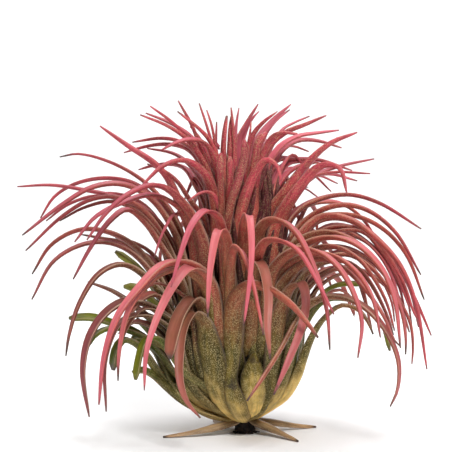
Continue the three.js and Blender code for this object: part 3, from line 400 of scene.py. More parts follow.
ROOTLET_SIDES = 6

# Inner leaves, all round, that fill the plant between the stem and the arches
INNER_LEAVES = 110
INNER_OUTER = {"start": (11, 26), "middle": (15, 46), "tip": (19, 66), "width": 4.2}
INNER_INNER = {"start": (6, 84), "middle": (7.5, 94), "tip": (9.5, 104), "width": 4.4}
INNER_SPREAD = 1.6
INNER_WIDER = 0.25


def mix(a, b, t):
    return a + (b - a) * t


def clamp(x, low=0.0, high=1.0):
    return min(max(x, low), high)


def smoothstep(x, low, high):
    t = np.clip((x - low) / (high - low), 0, 1)
    return t * t * (3 - 2 * t)


def draw(item, kind):
    """A repeatable draw between -1 and 1."""
    wave = math.sin(item * DRAW_ITEM + kind * DRAW_KIND) * DRAW_SCALE
    return 2 * (wave - math.floor(wave)) - 1


def seen(across, up, depth):
    """The place, in millimetres, that the eye sees at (across, up) when it is at that depth."""
    step = (depth + EYE_FAR) / EYE_FAR
    return np.array((
        EYE_SIDE + (across - EYE_SIDE) * step,
        depth,
        EYE_HIGH + (up - EYE_HIGH) * step,
    ))


def around(turn, r, z, sway=0.0):
    """A point at radius r and height z in the upright plane at a turn from +X, and off it by sway."""
    a = math.radians(turn)
    return np.array((
        r * math.cos(a) - sway * math.sin(a),
        r * math.sin(a) + sway * math.cos(a),
        z,
    ))


def inward(point):
    """The level direction from a point to the stem, which a leaf's upper face turns to."""
    return np.array((-point[0], -point[1], 0.0))


def make_leaf(course, width, flush, blunt=False):
    """A leaf whose foot and sheath follow from where its course starts."""
    high = smoothstep(course[0][2], FOOT_LOW, FOOT_HIGH)
    return {
        "course": with_foot(course),
        "facing": inward(course[0]),
        "width": width,
        "sheath": max(SHEATH_LEAST, width * mix(SHEATH_LOW, SHEATH_HIGH, high)),
        "blunt": blunt,
        "flush": flush,
    }


def make_whole_leaf(course, widths, flush, blush, painted_light_and_tone=1.0, blunt=False, rests=False):
    """A leaf given from its foot on, with its width at every point."""
    return {
        "course": course,
        "facing": inward(course[1]),
        "widths": widths,
        "blunt": blunt,
        "flush": flush,
        "blush": blush,
        "painted_light_and_tone": painted_light_and_tone,
        "vary": WHOLE_VARY,
        "rests": rests,
    }


def listed(rows, wider, flush, painted_light_and_tone=1.0, blunt=False):
    """Leaves from a list of courses, their depth growing fast and then settling; the group's factor
    on the lowest leaves' brightness is painted shade below 1 and painted light above 1, with some
    of their own tone."""
    leaves = []
    for near, far, width, *points in rows:
        last = len(points) - 1
        course = [
            seen(*p, mix(near, far, math.sin(i / last * math.pi / 2)))
            for i, p in enumerate(points)
        ]
        leaf = make_leaf(course, width * wider, flush, blunt)
        leaf["painted_light_and_tone"] = mix(painted_light_and_tone, 1, smoothstep(course[0][2], SHADE_LOW, SHADE_HIGH))
        leaves.append(leaf)
    return leaves


def base_leaves(rows, blunt=False):
    """Leaves from the lists that give every point's depth and width."""
    leaves = []
    for flush, blush, painted_light_and_tone, *points in rows:
        course = [seen(*p[:3]) for p in points]
        leaves.append(make_whole_leaf(course, [p[3] for p in points], flush, blush, painted_light_and_tone, blunt))
    return leaves


def back_leaves():
    """The back's leaves, spread by the golden share so that neighbours differ in level."""
    leaves = []
    for i in range(BACK_LEAVES):
        level = (i + 0.5) / BACK_LEAVES
        span = mix(BACK_SPAN_OUTER, BACK_SPAN_INNER, level)
        aside = span * (i * GOLDEN_SHARE % 1 - 0.5)
        course = []
        for k, (key, gather) in enumerate(BACK_GATHER.items()):
            kind = DRAW_BACK + 3 * k
            r, z = (mix(a, b, level) for a, b in zip(BACK_OUTER[key], BACK_INNER[key]))
            r += BACK_SPREAD * draw(i, kind)
            z += BACK_SPREAD * draw(i, kind + 1)
            sway = BACK_SWAY * draw(i, kind + 2) if key == "tip" else 0.0
            course.append(around(BACK_MIDDLE + aside * gather, r, z, sway))
        width = mix(BACK_OUTER["width"], BACK_INNER["width"], level)
        leaves.append(make_leaf(course, width, flush=0))
    return leaves


def inner_leaves():
    """Upright leaves packed round the stem, lower and wider outside, higher inside."""
    leaves = []
    for i in range(INNER_LEAVES):
        level = (i + 0.5) / INNER_LEAVES
        turn = GOLDEN_TURN * i
        wider = 1 + INNER_WIDER * (1 - level) * (1 - max(0, -math.sin(math.radians(turn))))
        course = []
        for k, key in enumerate(("start", "middle", "tip")):
            out, up, sway = (INNER_SPREAD * draw(i, DRAW_INNER + 3 * k + j) for j in range(3))
            r, z = (mix(a, b, level) for a, b in zip(INNER_OUTER[key], INNER_INNER[key]))
            course.append(around(turn, wider * r + out, z + up, sway))
        width = mix(INNER_OUTER["width"], INNER_INNER["width"], level)
        leaves.append(make_leaf(course, width, flush=0))
    return leaves


def prop_leaves():
    """The dead leaves, each of its own length and bent to its own side."""
    leaves = []
    for i, turn in enumerate(PROP_TURNS):
        long = 1 + PROP_UNEVEN * draw(i, DRAW_PROP)
        bend = PROP_BEND * draw(i, DRAW_PROP + 1)
        course = [around(turn, r * long, z, bend * (r / PROP_REACH) ** 2) for r, z, _ in PROP_COURSE]
        widths = [p[2] for p in PROP_COURSE]
        leaves.append(make_whole_leaf(course, widths, PROP_FLUSH, PROP_BLUSH, rests=True))
    return leaves


def foot_height(first):
    """How high on the stem the leaf's foot is."""
    lift = first[2] - FOOT_SLOPE * math.hypot(first[0], first[1]) - FOOT_LIFT
    return clamp(FOOT_LOW + FOOT_RISE * lift, FOOT_LOW, FOOT_HIGH)


def with_foot(course):
    """The course with the leaf's foot on the stem and the belly of its sheath put before it."""
    first = course[0]
    height = foot_height(first)
    foot = np.array((STEM_LEAN * height, 0, height))
    if first[2] - height < BELLY_FROM:
        return [foot, *course]
    belly = mix(foot, first, BELLY_OUT)
    belly[2] = mix(height, first[2], BELLY_UP)
    return [foot, belly, *course]


def smooth_course(points):
    """A centripetal Catmull-Rom curve through the points, as many short steps."""
    p = [2 * points[0] - points[1], *points, 2 * points[-1] - points[-2]]
    steps = []
    for i in range(1, len(p) - 2):
        a, b, c, d = p[i - 1:i + 3]
        d0, d1, d2 = (math.sqrt(np.linalg.norm(q - r)) for q, r in ((b, a), (c, b), (d, c)))
        leave = ((b - a) / d0 - (c - a) / (d0 + d1) + (c - b) / d1) * d1
        enter = ((c - b) / d1 - (d - b) / (d1 + d2) + (d - c) / d2) * d1
        for s in range(CURVE_STEPS):
            u = s / CURVE_STEPS
            steps.append(
                (2 * u**3 - 3 * u**2 + 1) * b
                + (u**3 - 2 * u**2 + u) * leave
                + (3 * u**2 - 2 * u**3) * c
                + (u**3 - u**2) * enter
            )
    steps.append(p[-2])
    return np.array(steps)


def even_stations(line, count):
    """The line's points at even distances, with the distance to each."""
    gaps = np.linalg.norm(np.diff(line, axis=0), axis=1)
    far = np.concatenate(([0], np.cumsum(gaps)))
    want = np.linspace(0, far[-1], count)
    return np.stack([np.interp(want, far, line[:, k]) for k in range(3)], axis=1), want


def carried_frames(centre, upper, roll):
    """The side and upper directions at each station, carried along, then rolled by some angle."""
    along = np.gradient(centre, axis=0)
    along /= np.linalg.norm(along, axis=1)[:, None]
    sides, uppers = [], []
    for t, turn in zip(along, roll):
        side = np.cross(t, upper)
        side /= np.linalg.norm(side)
        upper = np.cross(side, t)
        sides.append(side * math.cos(turn) + upper * math.sin(turn))
        uppers.append(upper * math.cos(turn) - side * math.sin(turn))
    return np.array(sides), np.array(uppers)


def leaf_width(t, leaf, joints):
    """The width at each share of the length; joints are the shares of the course's own points."""
    end = np.sqrt(np.clip((BLUNT_END - t) / BLUNT_ROUND, 0, 1)) if leaf["blunt"] else 1
    if "widths" in leaf:
        fine = np.linspace(0, 1, len(t) * WIDTH_FINE)
        width = np.interp(fine, joints, leaf["widths"])
        soft = np.hanning(WIDTH_SOFT + 2)[1:-1]
        padded = np.pad(width, WIDTH_SOFT // 2, mode="edge")
        width = np.convolve(padded, soft / soft.sum(), mode="valid")
        return np.interp(t, fine, width[:len(fine)]) * end
    entry = mix(SHEATH_ENTRY, 1, smoothstep(t, 0, SHEATH_FULL))
    body = mix(leaf["sheath"] * entry, leaf["width"], smoothstep(t, SHEATH_FULL, SHEATH_END))
    if leaf["blunt"]:
        return body * mix(1, BLUNT_NARROW, t) * end
    return mix(TIP_WIDE, body, np.clip((1 - t) / TAPER_SHARE, 0, 1) ** TAPER_POWER)


def along_leaf(t, shares):
    """A value that goes from the sheath's to the blade's to the tip's."""
    value = mix(shares["sheath"], shares["blade"], smoothstep(t, *TO_BLADE))
    return mix(value, shares["tip"], smoothstep(t, *TO_TIP))


def leaf_rings(leaf, seed):
    """Points, and the values that the materials read, for one leaf: stations x points round it."""
    line = smooth_course(leaf["course"])
    reached = np.concatenate(([0], np.cumsum(np.linalg.norm(np.diff(line, axis=0), axis=1))))
    count = max(STATIONS_LEAST, round(reached[-1] / STATION_EVERY))
    centre, far = even_stations(line, count)
    t = far / far[-1]
    roll = math.radians(ROLL_MOST) * draw(seed, DRAW_ROLL) * smoothstep(t, ROLL_FROM, 1)
    side, upper = carried_frames(centre, leaf["facing"], roll)
    width = leaf_width(t, leaf, reached[::CURVE_STEPS] / reached[-1])[:, None]
    back = width * along_leaf(t, BACK_DEEP)[:, None]
    channel = width * along_leaf(t, CHANNEL_DEEP)[:, None]
    turn_back = np.linspace(-1, 1, ACROSS_BACK)[None, :] * math.pi / 2
    turn_channel = np.linspace(1, -1, ACROSS_CHANNEL + 2)[None, 1:-1] * math.pi / 2
    x = np.concatenate((
        width / 2 * np.sin(turn_back),
        width / 2 * np.sin(turn_channel) * CHANNEL_WIDE,
    ), axis=1)
    y = np.concatenate((
        -back * np.cos(turn_back) ** BACK_POWER - WALL_LEAST,
        -channel * np.cos(turn_channel) ** CHANNEL_POWER,
    ), axis=1) + back / 2
    places = centre[:, None] + x[..., None] * side[:, None] + y[..., None] * upper[:, None]
    if leaf.get("rests"):
        places[..., 2] -= places[..., 2].min()
    sides = ACROSS_BACK + ACROSS_CHANNEL
    is_upper = np.concatenate((np.zeros(ACROSS_BACK), np.ones(ACROSS_CHANNEL)))
    spread = np.abs(np.concatenate((np.sin(turn_back[0]), np.sin(turn_channel[0]))))
    reach = np.concatenate((turn_back, turn_channel), axis=1) * width / 2
    highest = np.maximum.accumulate(centre[:, 2])
    blush = leaf.get("blush", FLUSH_OUT)
    flush = FLUSH_UP * highest + blush * smoothstep(t, FLUSH_FROM, 1) + leaf["flush"]
    return {
        "places": places,
        "share": np.repeat(t[:, None], sides, axis=1),
        "flush": np.repeat(flush[:, None], sides, axis=1),
        "upper": np.tile(is_upper, (count, 1)),
        "margin": np.tile(spread, (count, 1)),
        "across": reach,
        "along": np.repeat(far[:, None], sides, axis=1),
    }


def ring_faces(stations, sides, start):
    """Quads between neighbouring rings, and a closing face at each end."""
    faces = []
    for i in range(stations - 1):
        for k in range(sides):
            a = start + i * sides + k
            b = start + i * sides + (k + 1) % sides
            faces.append((a, b, b + sides, a + sides))
    last = start + (stations - 1) * sides
    faces.append(tuple(range(start + sides - 1, start - 1, -1)))
    faces.append(tuple(range(last, last + sides)))
    return faces


def value_attribute(mesh, name, values):
    mesh.attributes.new(name, "FLOAT", "POINT").data.foreach_set("value", np.asarray(values, np.float32))


def new_piece(name, places, faces, material, node):
    """A smooth mesh that takes the place of a CAD node."""
    mesh = bpy.data.meshes.new(name)
    mesh.from_pydata(places, [], faces)
    mesh.polygons.foreach_set("use_smooth", np.ones(len(mesh.polygons), bool))
    mesh.materials.append(material)
    mesh.update()
    piece = new_object(name, mesh)
    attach(piece, "root")
    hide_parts(node)
    return mesh


def leaf_piece(name, leaves, material, seed):
    """One mesh of many leaves, with the values that the leaf materials read."""
    places, faces, patch = [], [], []
    values = {key: [] for key in ("share", "upper", "margin", "flush", "leaf_tone", "leaf_painted_light_and_tone")}
    start = 0
    for number, leaf in enumerate(leaves, seed):
        rings = leaf_rings(leaf, number)
        stations, sides = rings["places"].shape[:2]
        points = stations * sides
        places.append(rings["places"].reshape(-1, 3) * MM)
        faces += ring_faces(stations, sides, start)
        start += points
        for key in ("share", "upper", "margin", "flush"):
            values[key].append(rings[key].ravel())
        # The leaf's painted light and shade, times its own tone, which differs at random
        painted_light_and_tone = leaf.get("painted_light_and_tone", 1) * (1 + SHADE_SPREAD * draw(number, DRAW_SHADE))
        values["leaf_tone"].append(np.full(points, leaf.get("vary", 1) * draw(number, DRAW_TONE)))
        values["leaf_painted_light_and_tone"].append(np.full(points, painted_light_and_tone))
        third = LEAF_APART * number + FACE_APART * rings["upper"]
        patch.append(np.stack((rings["across"], rings["along"], third), axis=-1).reshape(-1, 3))
    mesh = new_piece(name, np.concatenate(places), faces, material, "leaf_rosette")
    for key, value in values.items():
        value_attribute(mesh, key, np.concatenate(value))
    mesh.attributes.new("leaf_place", "FLOAT_VECTOR", "POINT").data.foreach_set(
        "vector", np.concatenate(patch).astype(np.float32).ravel()
    )


def rough(angle, height):
    """An uneven share of a lump's radius, by angle and height."""
    waves = (
        strength * math.sin(turns * angle + climb * height + shift)
        for turns, climb, shift, strength in LUMP_WAVES
    )
    return 1 + LUMP_ROUGH * sum(waves)


def lump_rings():
    """The black mass of the dead root: uneven rings from the ground up into the leaf bases."""
    rings = []
    for i in range(LUMP_RINGS + 1):
        z, r = (np.interp(i / LUMP_RINGS, LUMP_SHARES, [p[k] for p in LUMP_PROFILE]) for k in (0, 1))
        for k in range(LUMP_SIDES):
            a = 2 * math.pi * k / LUMP_SIDES
            reach = r * rough(a, z)
            rings.append((ROOT_SIDE + reach * math.cos(a), reach * math.sin(a) * LUMP_FLAT, z))
    return rings


def rootlet(number):
    """The rings of one wiry root that curls out of the lump and down to the ground."""
    turn = math.radians(GOLDEN_TURN * number)
    tall, far, curl, lift = (draw(number, DRAW_ROOTLET + k) for k in range(4))
    high = ROOTLET_HIGH * (ROOTLET_HIGH_SHARE[0] + ROOTLET_HIGH_SHARE[1] * tall)
    length = ROOTLET_LONG * (ROOTLET_LONG_SHARE[0] + ROOTLET_LONG_SHARE[1] * far)
    points = []
    for i in range(ROOTLET_STEPS + 1):
        t = i / ROOTLET_STEPS
        swing = turn + ROOTLET_CURL * curl * t * t
        reach = ROOTLET_FROM + length * t
        z = max(high * (1 - t) ** ROOTLET_DROP + ROOTLET_LIFT * lift * t, ROOTLET_THICK)
        points.append((ROOT_SIDE + reach * math.cos(swing), reach * math.sin(swing) * LUMP_FLAT, z))
    line = smooth_course(np.array(points))[::ROOTLET_EVERY]
    side, upper = carried_frames(line, np.array((0.0, 0.0, 1.0)), np.zeros(len(line)))
    thick = np.linspace(ROOTLET_THICK, ROOTLET_THIN, len(line))[:, None, None]
    turns = np.linspace(0, 2 * math.pi, ROOTLET_SIDES, endpoint=False)[None, :, None]
    rings = line[:, None] + thick * (np.cos(turns) * side[:, None] + np.sin(turns) * upper[:, None])
    return rings.reshape(-1, 3)


def root_piece(material):
    """The dead root: a lump and its rootlets."""
    places = [np.array(lump_rings())]
    faces = ring_faces(LUMP_RINGS + 1, LUMP_SIDES, 0)
    start = len(places[0])
    for number in range(ROOTLETS):
        rings = rootlet(number)
        places.append(rings)
        faces += ring_faces(len(rings) // ROOTLET_SIDES, ROOTLET_SIDES, start)
        start += len(rings)
    new_piece("dead_root", np.concatenate(places) * MM, faces, material, "root_stub")


def srgb(r, g, b):
    """A colour named by its 8-bit values, as the linear colour that Blender's nodes take."""
    def linear(c):
        c /= 255
        return c / 12.92 if c <= 0.04045 else ((c + 0.055) / 1.055) ** 2.4
    return (linear(r), linear(g), linear(b), 1.0)


def palette(*colours):
    """The colours of a leaf's parts, from their 8-bit values."""
    return {part: srgb(*colour) for part, colour in zip(LEAF_PARTS, colours)}


class Nodes:
    """Short ways to place and join nodes in one node tree."""

    def __init__(self, tree):
        self.tree = tree

    def add(self, kind, inputs=None, **settings):
        node = self.tree.nodes.new(kind)
        for name, value in settings.items():
            setattr(node, name, value)
        for name, value in (inputs or {}).items():
            self.feed(node.inputs[name], value)
        return node

    def feed(self, socket, value):
        if isinstance(value, bpy.types.NodeSocket):
            self.tree.links.new(value, socket)
        else:
            socket.default_value = value

    def attribute(self, name):
        return self.add("ShaderNodeAttribute", attribute_name=name)

    def ramp(self, value, low, high, to_low=0.0, to_high=1.0):
        node = self.add("ShaderNodeMapRange", {0: value, 1: low, 2: high, 3: to_low, 4: to_high})
        node.interpolation_type = "SMOOTHSTEP"
        return node.outputs[0]

    def math(self, operation, a, b=0.0):
        return self.add("ShaderNodeMath", {0: a, 1: b}, operation=operation).outputs[0]

    def stretch(self, vector, by):
        node = self.add("ShaderNodeVectorMath", {0: vector, 1: by}, operation="MULTIPLY")
        return node.outputs[0]

    def times(self, a, b):
        return self.math("MULTIPLY", a, b)

    def blend(self, share, a, b):
        node = self.add("ShaderNodeMix", {0: share, 6: a, 7: b}, data_type="RGBA")
        return node.outputs[2]

    def group(self, group, inputs):
        node = self.add("ShaderNodeGroup", node_tree=group)
        for name, value in inputs.items():
            self.feed(node.inputs[name], value)
        return node.outputs


NUMBER = "NodeSocketFloat"
COLOUR = "NodeSocketColor"
VECTOR = "NodeSocketVector"

# Colours of each leaf part as 8-bit values, from the foot to the end of a leaf
LEAF_PARTS = ("Foot", "Sheath", "Patch", "Middle", "Blade", "End")
LOWER = palette(
    (238, 200, 116), (100, 85, 32), (54, 56, 20), (136, 76, 54), (158, 68, 62), (166, 62, 74),
)
UPPER = palette(
    (190, 160, 96), (110, 92, 50), (66, 62, 30), (146, 86, 68), (180, 95, 98), (178, 84, 96),
)
OLD = palette(
    (170, 140, 82), (98, 90, 44), (60, 64, 24), (70, 78, 18), (104, 104, 24), (124, 104, 36),
)
DEAD = palette(
    (150, 122, 84), (176, 146, 108), (120, 92, 64), (172, 138, 100), (160, 124, 88), (120, 88, 64),
)
# The inner leaves' colours, dark as painted shade deep inside the plant
DARK = palette(
    (80, 68, 44), (44, 36, 24), (30, 28, 18), (48, 30, 24), (66, 32, 32), (92, 40, 44),
)
SILVER = srgb(208, 190, 136)
MARGIN = srgb(212, 184, 160)
DRY = srgb(74, 60, 54)
SCAR = srgb(52, 42, 34)
ROOT_DARK = srgb(16, 11, 10)
ROOT_PALE = srgb(62, 44, 34)
PALE = (0.93, 0.93, 0.93, 1)

# Ramps of the leaf's colour along it, as (from, to), or as (from, to, value before, value after),
# and how its blotches shift them and its patterns are stretched
PATCHES = (0.42, 0.7, 0.0, 0.7)
TO_SHEATH = (0.02, 0.25)
TO_MIDDLE = (0.36, 0.68)
TO_PINK = (0.62, 0.95)
TO_END = (1.0, 1.3)
BLOTCH_SHIFT = 0.24
PATCH_STRETCH = (0.5, 0.16, 1.0)
MOTTLE_STRETCH = (1.1, 0.12, 1.0)
MOTTLE = (0.3, 0.7, -0.32, 0.2)
MOTTLE_ABOVE = 0.3

# The silver scales: their edge, where they stand thick, and which are kept; how few lie on the
# upper face and far out, where they start to thin out, and how much they cover and stand up
SCALE_EDGE = (0.52, 0.16)
SCALE_THICK = (0.34, 0.62, 0.35, 1.5)
SCALE_KEPT = (-0.3, 0.3)
SCALES_ABOVE = (0.0, 1.0, 1.0, 0.04)
SCALES_FAR = 0.14
SCALES_FULL = 1 / 3
SCALES_COLOUR = 0.6
SCALES_HIGH = 0.9

# Painted shade, darker towards the edges of a sheath, and the pale rim of a leaf
PAINTED_SHADE_EDGE = (0.3, 0.9)
PAINTED_SHADE_SHARE = (0.1, 1.0, 0.5, 0.0)
RIM_EDGE = (0.92, 1.0)
RIM_PINK = (0.6, 1.15)
RIM_LEAST = 1 / 8
RIM_FOOT = (0.25, 0.55, 0.15, 1.0)

# Dry tips, scars and veins: their ragged edges, how much they colour, and how high they stand
DRY_RAGGED = 0.06
DRY_EDGE = (-0.02, 0.035)
DRY_VARY = 0.02
SCAR_RAGGED = (0.3, 0.7, -0.8, 0.8)
SCAR_EDGE = (1.1, 0.1)
SCAR_COLOUR = 0.7
SCAR_DEEP = 3.0
VEIN_STRETCH = 0.04
VEIN_HIGH = 0.6

# How rough a leaf is without and with scales, and where the root's fibres are pale
LEAF_ROUGH = (0.0, 1.0, 0.42, 0.85)
ROOT_FIBRES = (0.4, 0.75)

# The scars on the foot's sheaths: the place in metres, and the size
SCARS = (
    ((-0.0056, -0.0196, 0.0204), 0.0024),
    ((-0.0046, -0.0185, 0.0166), 0.0014),
    ((0.0034, -0.0178, 0.0284), 0.0022),
)

# Each leaf material: the colours of its lower and upper faces, how much of it has scales, how far
# along it they reach in millimetres, how pale its rim is, and where its dry tip starts
LEAF_LOOKS = {
    "Living leaf": (LOWER, UPPER, 0.85, 108.0, 0.5, 0.972),
    "Young leaf": (LOWER, UPPER, 0.85, 108.0, 0.5, 0.99),
    "Cut leaf": (LOWER, UPPER, 1.0, 150.0, 1.0, 1.1),
    "Foot leaf": (LOWER, UPPER, 0.9, 108.0, 0.4, 0.972, SCARS),
    "Old leaf": (OLD, OLD, 0.5, 80.0, 0.3, 0.985),
    "Dead leaf": (DEAD, DEAD, 0.2, 60.0, 0.3, 0.95),
    "Shaded leaf": (DARK, DARK, 0.5, 90.0, 0.2, 1.1),
}

# The stage in metres: a pale floor that bends up behind the plant
FLOOR_HALF = 3.0
FLOOR_FRONT = -3.0
FLOOR_BACK = 1.6
FLOOR_TOP = 3.0
FLOOR_BEND = 0.6
FLOOR_STEPS = 12

# Each light: its place in metres, how wide it is, its power, and what it points at
PLANT_MIDDLE = (0, 0, 0.06)
LIGHTS = {
    "Key": ((0.22, -0.94, 0.86), 0.45, 17.2, PLANT_MIDDLE),
    "Fill": ((-0.8, -0.8, 0.35), 0.7, 0.8, PLANT_MIDDLE),
    "Above": ((0.0, 0.1, 1.1), 0.6, 4.6, PLANT_MIDDLE),
    "Backdrop light": ((0.0, 0.5, 1.6), 1.2, 22, (0, 1.6, 0.3)),
}
WORLD_STRENGTH = 0.05


def new_group(name, inputs, outputs):
    """A shader node group with named sockets; returns the group, its inputs and its Nodes."""
    group = bpy.data.node_groups.new(name, "ShaderNodeTree")
    for label, kind, value in inputs:
        socket = group.interface.new_socket(label, in_out="INPUT", socket_type=kind)
        if value is not None:
            socket.default_value = value
    for label, kind in outputs:
        group.interface.new_socket(label, in_out="OUTPUT", socket_type=kind)
    nodes = Nodes(group)
    return group, nodes.add("NodeGroupInput").outputs, nodes


def silver_scales_group():
    """The silver hairs that lie flat on a leaf, in lengthwise rows: a mask."""
    group, given, n = new_group(
        "Silver scales",
        [("Place", VECTOR, None), ("Long", NUMBER, 0.42), ("Wide", NUMBER, 0.32),
         ("Cover", NUMBER, 0.6)],
        [("Mask", NUMBER)],
    )
    split = n.add("ShaderNodeSeparateXYZ", {0: given["Place"]})
    joined = n.add("ShaderNodeCombineXYZ", {
        0: n.math("DIVIDE", split.outputs[0], given["Wide"]),
        1: n.math("DIVIDE", split.outputs[1], given["Long"]),
        2: split.outputs[2],
    })
    cells = n.add("ShaderNodeTexVoronoi", {"Vector": joined.outputs[0], "Scale": 1.0, "Randomness": 1.0})
    spot = n.ramp(cells.outputs["Distance"], *SCALE_EDGE)
    patches = n.add("ShaderNodeTexNoise", {"Vector": joined.outputs[0], "Scale": 0.11, "Detail": 4.0})
    chance = n.add("ShaderNodeSeparateColor", {0: cells.outputs["Color"]})
    bound = n.times(given["Cover"], n.ramp(patches.outputs[0], *SCALE_THICK))
    kept = n.ramp(n.math("SUBTRACT", bound, chance.outputs[0]), *SCALE_KEPT)
    n.add("NodeGroupOutput", {"Mask": n.times(spot, kept)})
    return group


def leaf_colour_group():
    """Foot, sheath, middle, blade and end colours in order along a leaf, with soft blotches."""
    group, given, n = new_group(
        "Leaf colour",
        [("Along", NUMBER, 0.0), ("Place", VECTOR, None), ("Tone", NUMBER, 0.0),
         *((part, COLOUR, None) for part in LEAF_PARTS),
         ("Vary", NUMBER, 0.15), ("Mottle", NUMBER, 1.0)],
        [("Colour", COLOUR)],
    )
    blotch = n.add("ShaderNodeTexNoise", {"Vector": given["Place"], "Scale": 0.22, "Detail": 4.0})
    shift = n.times(n.math("SUBTRACT", blotch.outputs[0], 0.5), BLOTCH_SHIFT)
    low = n.math("ADD", given["Along"], shift)
    along = n.math("ADD", low, n.times(given["Tone"], given["Vary"]))
    patched = n.stretch(given["Place"], PATCH_STRETCH)
    patch = n.add("ShaderNodeTexNoise", {"Vector": patched, "Scale": 1.0, "Detail": 4.0})
    sheath = n.blend(n.ramp(patch.outputs[0], *PATCHES), given["Sheath"], given["Patch"])
    colour = n.blend(n.ramp(low, *TO_SHEATH), given["Foot"], sheath)
    for part, ramp in (("Middle", TO_MIDDLE), ("Blade", TO_PINK), ("End", TO_END)):
        colour = n.blend(n.ramp(along, *ramp), colour, given[part])
    stretched = n.stretch(given["Place"], MOTTLE_STRETCH)
    mottle = n.add("ShaderNodeTexNoise", {"Vector": stretched, "Scale": 1.0, "Detail": 3.0})
    darker = n.times(n.ramp(mottle.outputs[0], *MOTTLE), given["Mottle"])
    shaded = n.add("ShaderNodeHueSaturation", {"Color": colour, "Value": n.math("ADD", 1.0, darker)})
    n.add("NodeGroupOutput", {"Colour": shaded.outputs[0]})
    return group


def dry_tip_group():
    """Where a leaf has dried at its very tip, with a ragged edge."""
    group, given, n = new_group(
        "Dry tip",
        [("Share", NUMBER, 0.0), ("Place", VECTOR, None), ("From", NUMBER, 0.97)],
        [("Mask", NUMBER)],
    )
    ragged = n.add("ShaderNodeTexNoise", {"Vector": given["Place"], "Scale": 0.7, "Detail": 2.0})
    shift = n.times(n.math("SUBTRACT", ragged.outputs[0], 0.5), DRY_RAGGED)
    place = n.math("SUBTRACT", n.math("ADD", given["Share"], shift), given["From"])
    n.add("NodeGroupOutput", {"Mask": n.ramp(place, *DRY_EDGE)})
    return group


def veins_group():
    """Fine ridges along a leaf, as a height."""
    group, given, n = new_group(
        "Veins",
        [("Place", VECTOR, None), ("Apart", NUMBER, 0.5)],
        [("Height", NUMBER)],
    )
    split = n.add("ShaderNodeSeparateXYZ", {0: given["Place"]})
    joined = n.add("ShaderNodeCombineXYZ", {
        0: n.math("DIVIDE", split.outputs[0], given["Apart"]),
        1: n.times(split.outputs[1], VEIN_STRETCH),
        2: split.outputs[2],
    })
    ridge = n.add("ShaderNodeTexNoise", {"Vector": joined.outputs[0], "Scale": 1.3, "Detail": 2.0})
    n.add("NodeGroupOutput", {"Height": ridge.outputs[0]})
    return group


def scar_group():
    """A shrunken dark scar round one place on a leaf, with a ragged edge."""
    group, given, n = new_group(
        "Scar",
        [("Point", VECTOR, None), ("Centre", VECTOR, None), ("Size", NUMBER, 0.003)],
        [("Mask", NUMBER)],
    )
    apart = n.add("ShaderNodeVectorMath", {0: given["Point"], 1: given["Centre"]}, operation="DISTANCE")
    ragged = n.add("ShaderNodeTexNoise", {"Vector": given["Point"], "Scale": 420.0, "Detail": 3.0})
    away = n.math("DIVIDE", apart.outputs["Value"], given["Size"])
    edge = n.math("ADD", away, n.ramp(ragged.outputs[0], *SCAR_RAGGED))
    n.add("NodeGroupOutput", {"Mask": n.ramp(edge, *SCAR_EDGE)})
    return group


def new_material(name):
    """An empty material and the Nodes of its tree."""
    material = bpy.data.materials.new(name)
    material.use_nodes = True
    material.node_tree.nodes.clear()
    return material, Nodes(material.node_tree)


